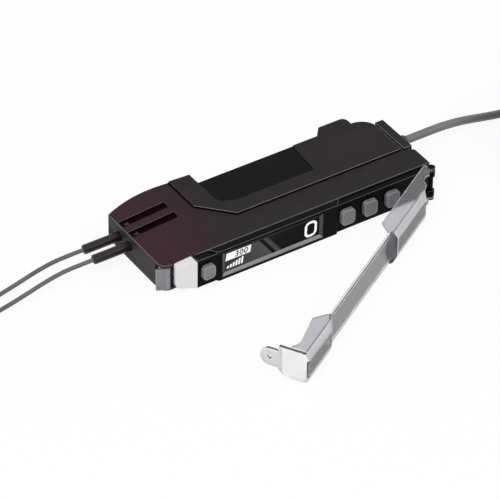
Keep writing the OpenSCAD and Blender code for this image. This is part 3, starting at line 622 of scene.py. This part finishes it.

# %% [markdown]
# ### The three mouldings
# Two shells and the end cap share the charcoal. Shade is painted inside the slots over the fibres, but
# not on the arrow that stands in each. On the rims of the slots, of the label's recess and of the
# lamp's notch the painted highlight is kept faint, and only the far rim of a slot shows a faint painted
# line.

# %% Housing
# the round of the shells, then the faint painted highlight on rims and on a slot's far rim
SHELL_ROUND, FAINT_HIGHLIGHT, FAR_RIM_HIGHLIGHT = 0.11, 0.08, 0.3
SLOT_XS, SLOT_W, SLOT_DEPTHS, ARROW_DEPTH = (-38.2, -24.6), 2.3, (0.1, 0.7), 0.45
TIP_X, SIDE_AT_TIP, SIDE_RISE = -38.4, 8.3, 0.0764
# heights of the wall at the foot of the raised part that gets painted shade
RAISED_FOOT = (9.36, 9.84)
NOTCH_BEFORE, NOTCH_BEHIND, LABEL_RIM = 0.5, 1.3, 0.6
lamp_low, lamp_high = (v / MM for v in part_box("status_lamp"))
label_low, label_high = (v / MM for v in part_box("label_plate"))


def over_fibre(centre, margin):
    """True within the width of one of the two slots."""
    return any(abs(centre.y - y) < SLOT_W / 2 + margin for _, y, _, _ in FIBRES)


def gets_painted_shade(centre, upright):
    """True where shade is painted: in the slots and on the foot of the raised part's wall."""
    depth = SIDE_AT_TIP + SIDE_RISE * (centre.x - TIP_X) - centre.z
    in_slot = (SLOT_XS[0] < centre.x < SLOT_XS[1] and over_fibre(centre, 0.01)
               and SLOT_DEPTHS[0] < depth < SLOT_DEPTHS[1])
    arrow = not upright and depth < ARROW_DEPTH
    foot = upright and RAISED_FOOT[0] < centre.z < RAISED_FOOT[1] and centre.y < FOOT_END_Y
    return in_slot and not arrow or foot


def shade_slots_and_foot(bm, painted_highlight):
    """Paints shade into the slots and on the foot of the raised part; rims keep a faint painted
    highlight.
    """
    paint_foot_shade(bm)
    for face in bm.faces:
        centre, looks = face.calc_center_median() / MM, face.normal
        at_slot = (over_fibre(centre, 0.2) and SLOT_XS[0] - 0.1 < centre.x < SLOT_XS[1] + 0.3
                   and centre.z > 7)
        at_lamp = (lamp_low.x - NOTCH_BEFORE < centre.x < lamp_high.x + NOTCH_BEHIND
                   and centre.y < lamp_high.y + NOTCH_BEHIND)
        at_label = (label_low.x - LABEL_RIM < centre.x < label_high.x + LABEL_RIM
                    and label_low.y - LABEL_RIM < centre.y < label_high.y + LABEL_RIM)
        raised_end = centre.z > SIDE_TOP + 0.1 and looks.x < min(-0.25, 1.5 * looks.y)
        # painted shade in the slots and at the foot; faint painted highlight on the rims
        if face[painted_highlight] == 0 and gets_painted_shade(centre, abs(looks.z) < 0.3):
            face.material_index = PAINTED_SHADE_SLOT
        elif face[painted_highlight] > 0 and (at_slot or at_lamp or at_label or raised_end):
            face[painted_highlight] = FAR_RIM_HIGHLIGHT if at_slot and looks.y < -0.2 else FAINT_HIGHLIGHT


soft_copy("lower_shell", SHELL_ROUND, "amplifier", "housing", charcoal)
soft_copy("upper_shell", SHELL_ROUND, "amplifier", "housing", charcoal, painted_shade, after=shade_slots_and_foot)
soft_copy("end_cap", SHELL_ROUND, "amplifier", "housing", charcoal)

# %% [markdown]
# ## The label plate
# A thin film lies in the recess of the upper side. It stays bare here: its interest is its satin
# face, a shade darker and cooler than the housing.

# %% Label plate
label_film = moulded("label_film", (0.0072, 0.0071, 0.0074), 0.34, grain=2500, Specular_IOR_Level=0.03)
soft_copy("label_plate", 0.05, "amplifier", "label", label_film)

# %% [markdown]
# ## The front frame
# A gloss black frame carries the window and the buttons, and its two ears carry the cover. Black
# gloss shows its shape by its edges alone, so the rounds matter more here than the faces. The ledge
# above the buttons is cut up by the bezel's ends and can't be rounded in one go. Its painted
# highlight line is a narrow strip that is cut off its upper face instead.

# %% Front frame
gloss_black = moulded("gloss_black_frame", (0.0032, 0.0028, 0.0034), 0.3, grain=6000, bump=0.02,
                      Specular_IOR_Level=0.04)
# painted highlight on the frame's rounds
painted_edge_highlights(gloss_black, (0.22, 0.21, 0.22), 1.0)
# the width and strength of the ledge's painted highlight line
LEDGE_LINE, LEDGE_HIGHLIGHT = 0.2, 0.5


def paint_ledge_highlight(bm, painted_highlight):
    """Paints a highlight on the front edge of the frame's upper ledge, which has too many short steps
    to round.
    """
    ledge = max((f for f in bm.faces if f.normal.z > LEVEL), key=lambda f: f.calc_area())
    line = min(v.co.y for v in ledge.verts) + LEDGE_LINE * MM
    parts = cut_faces(bm, [ledge], (0, line, 0), (0, 1, 0))
    strips = [f for f in parts if f.calc_center_median().y < line]
    for face in strips:
        face[painted_highlight] = LEDGE_HIGHLIGHT
    print("ledge strips", len(strips))


soft_copy("front_frame", 0.095, "amplifier", "frame", gloss_black, after=paint_ledge_highlight)

# %% [markdown]
# ## The display
# Behind the bezel lies a shallow tray whose sides slope down to a dark panel. It starts as a block of
# the window's size; its front face is inset and pushed in, which makes the four slopes at once. The
# panel's slanted grey fields come from one colour ramp on a sheared coordinate. Each field could be
# a thin plate of its own, but plates that flat would flicker.

# %% Panel film
window_low, window_high = (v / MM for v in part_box("display_window"))
TRAY_IN, TRAY_DEEP = 0.85, 0.35
panel_y = window_low.y + TRAY_DEEP


def block(low, high):
    """A bmesh box between two corners in millimetres."""
    bm = bmesh.new()
    bmesh.ops.create_cube(bm, size=1)
    bmesh.ops.scale(bm, vec=(high - low) * MM, verts=bm.verts)
    bmesh.ops.translate(bm, vec=(low + high) / 2 * MM, verts=bm.verts)
    return bm


def slanted_fields(name, fields, lean, level):
    """A panel finish of fields along X that lean with the height: fields holds starts and greys."""
    material = moulded(name, (0.02, 0.02, 0.02), 0.25, bump=0, Specular_IOR_Level=0.02)
    tree = material.node_tree
    split = on_object(tree, node_of(tree, "SeparateXYZ"))
    sheared = maths(tree, "MULTIPLY_ADD", split.outputs["Z"], lean, split.outputs["X"])
    first, last = fields[0][0], fields[-1][0]
    scaled = node_of(tree, "MapRange", From_Min=(first + lean * level) * MM,
                     From_Max=(last + lean * level) * MM)
    tree.links.new(sheared, scaled.inputs["Value"])
    stops = [((start - first) / (last - first), (grey, grey, grey * 0.98)) for start, grey in fields]
    tree.links.new(colour_ramp(tree, scaled.outputs["Result"], stops),
                   tree.nodes["Principled BSDF"].inputs["Base Color"])
    return material


FIELDS = [(-24, 0.034), (-16, 0.064), (-10.8, 0.085), (-10.55, 0.008), (-9.6, 0.008), (-9.4, 0.08),
          (-8.3, 0.06), (-7.9, 0.01), (6, 0.007)]
FIELD_LEAN, FIELD_LEVEL = 0.725, 5.05
panel_film = slanted_fields("panel_film", FIELDS, FIELD_LEAN, FIELD_LEVEL)
slope_light = moulded("slope_light", (0.25, 0.25, 0.255), 0.3)
slope_dark = moulded("slope_dark", (0.029, 0.028, 0.03), 0.3)
tray_black = moulded("tray_black", (0.006, 0.006, 0.007), 0.3, Specular_IOR_Level=0.1)

# %% [markdown]
# ### The tray
# The inset face is the panel. The slopes take a light or a dark finish by the way they look, because
# the lower one catches the light from above and those at the ends don't.

# %% Display tray
bm = block(window_low, window_high)
front = min(bm.faces, key=lambda f: f.calc_center_median().y)
slopes = bmesh.ops.inset_region(bm, faces=[front], thickness=TRAY_IN * MM, depth=-TRAY_DEEP * MM,
                                use_even_offset=True)["faces"]
PANEL, LIGHT, DIM, BLACK = range(4)
for face in bm.faces:
    face.material_index = BLACK
front.material_index = PANEL
for face in slopes:
    if face.normal.z > 0.3:
        face.material_index = LIGHT
    elif abs(face.normal.x) > 0.3:
        face.material_index = DIM
tray = new_piece("display_tray", bm, "amplifier", "window", panel_film, slope_light, slope_dark,
                 tray_black)
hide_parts("display_window")
print("tray panel at y", round(panel_y, 2), "slopes", len(slopes))

# %% [markdown]
# ### What the display shows
# A white field with a set value, a row of level bars and a large nought. All of them lean a little to
# the right, so each passes through one shear before it is stood up on the panel. They could be drawn
# in the film's finish, but thin raised shapes keep a sharp edge from close by.

# %% Flat marks
lit_white = moulded("lit_white", (0.86, 0.86, 0.87), 0.4, drift=0.02, bump=0,
                    Emission_Color=(1, 1, 1, 1), Emission_Strength=0.25)
ink_black = moulded("ink_black", (0.03, 0.03, 0.032), 0.5, bump=0)
LEAN, MARK_THICK, INK_THICK = 0.15, 0.03, 0.02


def lay_on_panel(bm, x, z, lift=0, thick=MARK_THICK, slant=LEAN):
    """Stands a flat shape up on the panel, centred on x and z, leaning and with some thickness."""
    draw_out(bm, thick)
    lean = Matrix.Identity(4)
    lean[0][1] = slant
    stand = Matrix.Rotation(math.pi / 2, 4, "X")
    place = Matrix.Translation((x, panel_y - lift, z))
    bmesh.ops.transform(bm, matrix=Matrix.Scale(MM, 4) @ place @ stand @ lean, verts=bm.verts)
    return bm

# %% [markdown]
# ### Field, nought and bars
# These are flat grids. The nought's corners are rounded first; then it is inset, and its middle is
# taken out, which leaves a stroke of even width.

# %% Field, nought and bars
FIELD_SIZE, FIELD_AT = (7.1, 2.1), (-18.5, 6.45)
NOUGHT_SIZE, NOUGHT_CORNER, NOUGHT_STROKE = (3.55, 4.65), 1.45, 0.67
NOUGHT_AT, NOUGHT_LEAN = (2.5, 4.97), 0.04
BARS, BAR_WIDE, BAR_APART = (0.7, 0.95, 1.2, 1.45, 1.7, 1.95), 0.5, 0.82
BAR_FIRST_X, BAR_FOOT_Z = -21.5, 2.95

field = lay_on_panel(flat_field(*FIELD_SIZE), *FIELD_AT)
new_piece("value_field", field, "amplifier", "display", lit_white)
ring = flat_field(*NOUGHT_SIZE, NOUGHT_CORNER)
keep_rim(ring, NOUGHT_STROKE, even=True)
lay_on_panel(ring, *NOUGHT_AT, slant=NOUGHT_LEAN)
new_piece("nought_ring", ring, "amplifier", "display", lit_white)
for i, high in enumerate(BARS):
    bar = lay_on_panel(flat_field(BAR_WIDE, high), BAR_FIRST_X + BAR_APART * i, BAR_FOOT_Z + high / 2)
    new_piece(f"level_bar_{i + 1}", bar, "amplifier", "display", lit_white)

# %% [markdown]
# ### The set value
# The small dark digits are a text object that is made a mesh, because a font draws better noughts than
# a handful of points. The text object goes once its mesh is taken.

# %% Digits
DIGITS_AT = (-17.65, 6.4)
text = bpy.data.curves.new("set_value", "FONT")
text.body, text.size, text.offset, text.align_x, text.align_y = "300", 2.3, 0.05, "CENTER", "CENTER"
text.space_character = 1.12
written = bpy.data.objects.new("set_value_text", text)
bm = bmesh.new()
bm.from_mesh(written.to_mesh())
bpy.data.objects.remove(written)
bpy.data.curves.remove(text)
bmesh.ops.remove_doubles(bm, verts=bm.verts, dist=1e-5)
lay_on_panel(bm, *DIGITS_AT, lift=MARK_THICK, thick=INK_THICK)
new_piece("set_value", bm, "amplifier", "display", ink_black)
print("display marks", 3 + len(BARS))

# %% [markdown]
# ## The status lamp and the lever
# The lamp is a milky white moulding at the corner, the lever a grey one with ribs for the nail. Both
# have their full shape in the CAD, so a soft copy is all they need. The lever's round is small, or its
# ribs would melt together.

# %% Lamp and lever
milk_white = moulded("milk_white_lamp", (0.70, 0.69, 0.695), 0.35, drift=0.02, bump=0.02)
soft_copy("status_lamp", 0.15, "amplifier", "lamp", milk_white)
lever_grey = moulded("lever_grey", (0.225, 0.222, 0.24), 0.4)
soft_copy("lock_lever", 0.05, "lever", "lever", lever_grey)

# %% [markdown]
# ## The sleeves and the bush
# A sleeve is a tube of black rubber, so its profile is spun, with the small countersink that guides
# the fibre in. A cylinder would lack that rim. The bush that holds the cable is a soft copy.

# %% Sleeves and bush
sleeve_black = moulded("sleeve_black", (0.013, 0.0075, 0.0102), 0.32, Specular_IOR_Level=0.28)
BORE_R, SLEEVE_R, SLEEVE_LONG = 0.56, 1.225, 24.2
tube = [(0, BORE_R), (0.15, BORE_R), (0, 0.75), (0, 1.05), (0.18, SLEEVE_R), (SLEEVE_LONG, SLEEVE_R)]
for label, y, _, _ in FIBRES:
    bm = lathe(tube, Vector((SLEEVE_TIP, y, EXIT_Z)), Vector((1, 0, 0)), steps=40)
    sleeve = new_piece("sleeve_" + label, bm, "amplifier", "sleeve", sleeve_black)
    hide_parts("fibre_sleeve_" + label)

bush_rubber = moulded("bush_rubber", (0.03, 0.03, 0.032), 0.6)
soft_copy("cable_bush", 0.15, "amplifier", "bush", bush_rubber)

# %% [markdown]
# ## The buttons
# Four grey caps with a rounded rim and a shallow dish for the fingertip. The dish is an inset of the
# front face that is pushed in a little; the rim round it gets a painted highlight.

# %% Buttons
# the dish's sizes and the strength of the rim's painted highlight
DISH_RIM, DISH_SLOPE, DISH_DEEP, RIM_HIGHLIGHT = 0.22, 0.3, 0.1, 0.7


def finger_dish(bm, painted_highlight):
    """Sinks a shallow dish in the front face and paints a highlight on the rim round it."""
    ahead = [f for f in bm.faces if f.normal.y < -LEVEL]
    front = max(ahead, key=lambda f: f.calc_area())
    rim = bmesh.ops.inset_region(bm, faces=[front], thickness=DISH_RIM * MM,
                                 use_even_offset=True)["faces"]
    bmesh.ops.inset_region(bm, faces=[front], thickness=DISH_SLOPE * MM, depth=-DISH_DEEP * MM,
                           use_even_offset=True)
    for face in rim:
        face[painted_highlight] = RIM_HIGHLIGHT


button_grey = moulded("button_grey", (0.168, 0.164, 0.174), 0.42)
# painted highlight on the buttons' rounds
painted_edge_highlights(button_grey, (0.31, 0.305, 0.315), 0.9)
for name in ("lamp_button", "button_1", "button_2", "button_3"):
    soft_copy(name, 0.16, name, "button", button_grey, after=finger_dish)

# %% [markdown]
# ## The dust cover
# The cover is one clear moulding that looks different on every face: the front and the strip smoky,
# the wings clear with a haze, the chamfers and the flap frosted, and all the cut edges bright. That
# comes from light which runs inside the plastic and leaves at its edges, and from how each face turns
# to the light. A path tracer would need thousands of samples for it. Five finishes, from clear to dark,
# give the same look at once, picked by the way a face looks: the bright edges are painted light, the
# darker fronts are a smoky tint with painted shade, and the chamfers and the flap are frosted with
# painted light.

# %% Finishes of the cover
def clear_finish(name, colour, through, rough):
    """A see-through plastic: how much light it lets through and how dull it is."""
    return moulded(name, colour, rough, drift=0.03, bump=0.02, Transmission_Weight=through, IOR=1.3,
                   Specular_IOR_Level=0.3)


# places on the closed cover in millimetres, and the area in square millimetres of a broad face
COVER_OPEN, HINGE = math.radians(31.5), Vector((38, -14.6, 0))
FOLD, FOLD_ROUND, FLAP_CLEAR, BROAD = (-40.9, -17.7), 0.9, -10.9, 20
STRIP_FACE, STRIP_HALF, COVER_MID = -16.1, 4.5, 4.9
STRIP_BANDS, BLOCK_BANDS = (8.8, 8.35, 1.6), (7.28, 3.05)
WING, SMOKY_SHADED, FROSTED, BRIGHT, DARK_LINE = range(5)
to_hinge, from_hinge = Matrix.Translation(-HINGE * MM), Matrix.Translation(HINGE * MM)
shut = from_hinge @ Matrix.Rotation(-COVER_OPEN, 4, "Z") @ to_hinge
# wing, smoky front with painted shade, frosted with painted light, bright edge of painted light, dark
# line
cover_finishes = [clear_finish("cover_wing", (0.54, 0.54, 0.565), 0.85, 0.12),
                  clear_finish("cover_front", (0.13, 0.131, 0.142), 0.8, 0.15),
                  clear_finish("cover_frosted", (0.75, 0.75, 0.76), 0.55, 0.35),
                  clear_finish("cover_edge", (0.9, 0.9, 0.91), 0.3, 0.25),
                  clear_finish("cover_line", (0.035, 0.035, 0.039), 0.1, 0.25)]

# %% [markdown]
# ### The fold and the flap
# The front of the cover turns round a soft fold into the flap. That round is larger than the others,
# so it is made first. The cover lies open here, so places on it are found by turning them back to the
# closed cover, where its faces line up with the axes.

# %% Fold and flap
def when_shut(face):
    """The middle of a face in millimetres, and the way it looks, with the cover closed."""
    return shut @ face.calc_center_median() / MM, shut.to_3x3() @ face.normal


def is_broad(face):
    """True for a main face, false for a rim."""
    return face.calc_area() > BROAD * MM ** 2


def round_the_fold(bm):
    """Gives the fold between the cover's front and its flap a larger round, and parts the flap."""
    fold = []
    for edge in bm.edges:
        ends = [shut @ v.co / MM for v in edge.verts]
        at_fold = all(abs(p.x - FOLD[0]) < 0.05 and p.y < FOLD[1] + 1 for p in ends)
        if at_fold and edge.calc_length() > MM:
            fold.append(edge)
    bmesh.ops.bevel(bm, geom=fold, offset=FOLD_ROUND * MM, offset_type="OFFSET", affect="EDGES",
                    segments=8, profile=0.5, material=-1, clamp_overlap=False)
    flap = [f for f in bm.faces if when_shut(f)[1].x < -LEVEL and is_broad(f)]
    opened = shut.inverted()
    cut_faces(bm, flap, opened @ (Vector((FOLD[0], FLAP_CLEAR, 0)) * MM),
              opened.to_3x3() @ Vector((0, 1, 0)))
    print("fold edges", len(fold), "flap faces", len(flap))

# %% [markdown]
# ### A finish for every face
# The faces are sorted by the way they look with the cover closed. Picking them by hand would be quick
# but would break with the next change of the CAD; a rule by direction holds.

# %% Finish of a face
def finish_of(face, highlit):
    """Picks a face's finish, with its painted light or shade, from how it looks with the cover closed;
    the limits are cosines.
    """
    middle, looks = when_shut(face)
    on_strip = abs(abs(middle.z - COVER_MID) - STRIP_HALF) < 0.12
    if highlit:
        dark = looks.z > 0.3 and looks.y < -0.15 and (on_strip or looks.z > 0.8)
        return DARK_LINE if dark else BRIGHT
    if abs(looks.z) > 0.9:
        return SMOKY_SHADED if middle.x < FOLD[0] + 1 else BRIGHT if on_strip else WING
    if abs(looks.y) > 0.97:
        return SMOKY_SHADED if looks.y < 0 else WING
    if abs(looks.y) > 0.4 and abs(looks.z) < 0.2:
        return FROSTED if looks.x > 0 else SMOKY_SHADED if looks.x < -0.75 else WING
    if abs(looks.x) > 0.9 and middle.x < FOLD[0] + 1:
        return BRIGHT if middle.y < FLAP_CLEAR else FROSTED
    return FROSTED if abs(looks.y) > 0.7 else BRIGHT

# %% [markdown]
# ### Bands along the edges
# Through the smoky front one sees the cover's side walls as lighter bands, and the strip has a thin
# dark line at its upper edge. Both are painted: the front faces are cut across at those heights, and
# each part gets its own finish, a lighter one of painted light for the walls seen through, and a dark
# one for the line.

# %% Bands and the cover
def banded(bm, faces, levels):
    """Cuts faces across at some heights and paints all but the middle lighter; with three heights the
    top is a dark line.
    """
    for level in levels:
        faces = cut_faces(bm, faces, (0, 0, level * MM), (0, 0, 1))
    for face in faces:
        height = face.calc_center_median().z / MM
        if height > max(levels) and len(levels) > 2:
            face.material_index = DARK_LINE
        elif height > levels[-2] or height < levels[-1]:
            face.material_index = FROSTED
    return len(faces)


def sort_cover_faces(bm, painted_highlight):
    """Sorts the faces by finish, which paints light and shade by direction; the smoky fronts get
    painted lighter bands along their edges.
    """
    for face in bm.faces:
        face.material_index = finish_of(face, face[painted_highlight] > 0)
    fronts = [f for f in bm.faces
              if f.material_index == SMOKY_SHADED and when_shut(f)[1].y < -0.97 and is_broad(f)]
    strip = [f for f in fronts if abs(when_shut(f)[0].y - STRIP_FACE) < 0.1]
    blocks = [f for f in fronts if f not in strip]
    print("cover bands", banded(bm, strip, STRIP_BANDS), banded(bm, blocks, BLOCK_BANDS))


soft_copy("dust_cover", 0.12, "cover", "cover", *cover_finishes, before=round_the_fold,
          after=sort_cover_faces, sharp=15, smooth=20)

# %% [markdown]
# ## Finishes of the pieces inside
# The boards, switches, lamps and the clamp can't be seen in the closed housing, so they keep the
# shapes that the CAD made. Each still gets the finish of its real material, because a library part is
# taken apart and looked at: green boards, steel pins and plates, black optics and pale diodes.

# %% Inner finishes
inner = {
    "display_module": ("display_body", (0.02, 0.02, 0.022), 0.4),
    "switch_board": ("board_green", (0.02, 0.10, 0.04), 0.45),
    "main_board": ("board_green_main", (0.02, 0.11, 0.045), 0.45),
    "tact_switches": ("switch_case", (0.3, 0.3, 0.31), 0.35),
    "lamp_led": ("lamp_diode", (0.75, 0.7, 0.5), 0.3),
    "lever_pin": ("pin_steel", (0.55, 0.55, 0.56), 0.3),
    "fibre_clamp": ("clamp_plate", (0.5, 0.5, 0.48), 0.35),
    "optic_block": ("optic_black", (0.02, 0.02, 0.022), 0.5),
    "light_emitter": ("emitter_can", (0.7, 0.65, 0.5), 0.3),
    "light_receiver": ("receiver_can", (0.5, 0.55, 0.6), 0.3),
}
for node, (name, colour, rough) in inner.items():
    nodes[node].data.materials.clear()
    nodes[node].data.materials.append(moulded(name, colour, rough))

# %% [markdown]
# ## The floor
# The amplifier lies on a pale table that holds a soft shadow. A plain white floor comes out grey in
# this light. So for the camera, for gloss and through clear plastic it mostly shines by itself, and
# only a tenth of it is shaded, which keeps the shadow.

# %% Floor finish
def seen_directly(tree):
    """1 where a ray comes from the camera, a reflection or a see-through surface."""
    ray = node_of(tree, "LightPath").outputs
    direct = maths(tree, "MAXIMUM", ray["Is Camera Ray"], ray["Is Glossy Ray"])
    return maths(tree, "MAXIMUM", direct, ray["Is Transmission Ray"])


def mix_into(tree, output, share, first, second):
    """Sends a mix of two shaders, by a share from 0 to 1, to an output node."""
    mix = node_of(tree, "MixShader")
    for source, socket in zip((share, first.outputs[0], second.outputs[0]), mix.inputs):
        tree.links.new(source, socket)
    tree.links.new(mix.outputs[0], node_of(tree, output).inputs["Surface"])


GLOW_SHARE = 0.9
floor_white = bpy.data.materials.new("floor_white")
floor_white.use_nodes = True
tree = floor_white.node_tree
tree.nodes.clear()
matt = node_of(tree, "BsdfDiffuse", Color=(0.9, 0.9, 0.9, 1))
glow = node_of(tree, "Emission", Color=(1, 1, 1, 1), Strength=1)
glowing = maths(tree, "MULTIPLY", seen_directly(tree), GLOW_SHARE)
mix_into(tree, "OutputMaterial", glowing, matt, glow)

# %% [markdown]
# ### The floor itself
# One large square a hair below the amplifier, so that no two faces share a plane. It is part of the
# stage and not of the part.

# %% Floor
FLOOR_UNDER, FLOOR_HALF = 0.02 * MM, 3
bm = bmesh.new()
bmesh.ops.create_grid(bm, x_segments=1, y_segments=1, size=FLOOR_HALF)
bmesh.ops.translate(bm, vec=(0, 0, -FLOOR_UNDER), verts=bm.verts)
floor_mesh = bpy.data.meshes.new("floor")
bm.to_mesh(floor_mesh)
bm.free()
floor = in_scene("floor", floor_mesh)
floor.data.materials.append(floor_white)
floor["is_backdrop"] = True

# %% [markdown]
# ### The room
# A white room lights everything a little from all sides. It is dimmer than it looks, or the lamps
# would leave no shadow.

# %% World
world = bpy.data.worlds.new("studio")
world.use_nodes = True
bpy.context.scene.world = world
tree = world.node_tree
tree.nodes.clear()
soft = node_of(tree, "Background", Color=(1, 1, 1, 1), Strength=0.55)
white = node_of(tree, "Background", Color=(1, 1, 1, 1), Strength=1)
mix_into(tree, "OutputWorld", seen_directly(tree), soft, white)

# %% [markdown]
# ### Three lamps
# Product photographs use large soft lamps. The key lies to the left and above, a fill at the right
# opens the shadow, and a weak lamp low at the left lights the cover's flap. Suns or points would give
# hard edges.

# %% Lamps
def softbox(name, place, size, power):
    """A square lamp that looks at the middle of the amplifier."""
    lamp = in_scene(name, bpy.data.lights.new(name, "AREA"))
    lamp.data.size, lamp.data.energy = size, power
    lamp.location = place
    lamp.rotation_euler = (aim - Vector(place)).to_track_quat("-Z", "Y").to_euler()


softbox("key_light", (-0.45, -0.35, 0.7), 0.5, 4.0)
softbox("fill_light", (0.5, -0.5, 0.5), 0.6, 1.5)
softbox("side_light", (-0.75, -0.05, 0.16), 0.4, 0.5)
bpy.context.scene.view_settings.view_transform = "Standard"

# %% [markdown]
# ## Size and end
# The box of the dressed part is printed. The looks grow past the CAD by half a millimetre of strap over
# the cable's coil.

# %% Size and finish
low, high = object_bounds()
print("box", [round(v, 5) for v in low], [round(v, 5) for v in high])
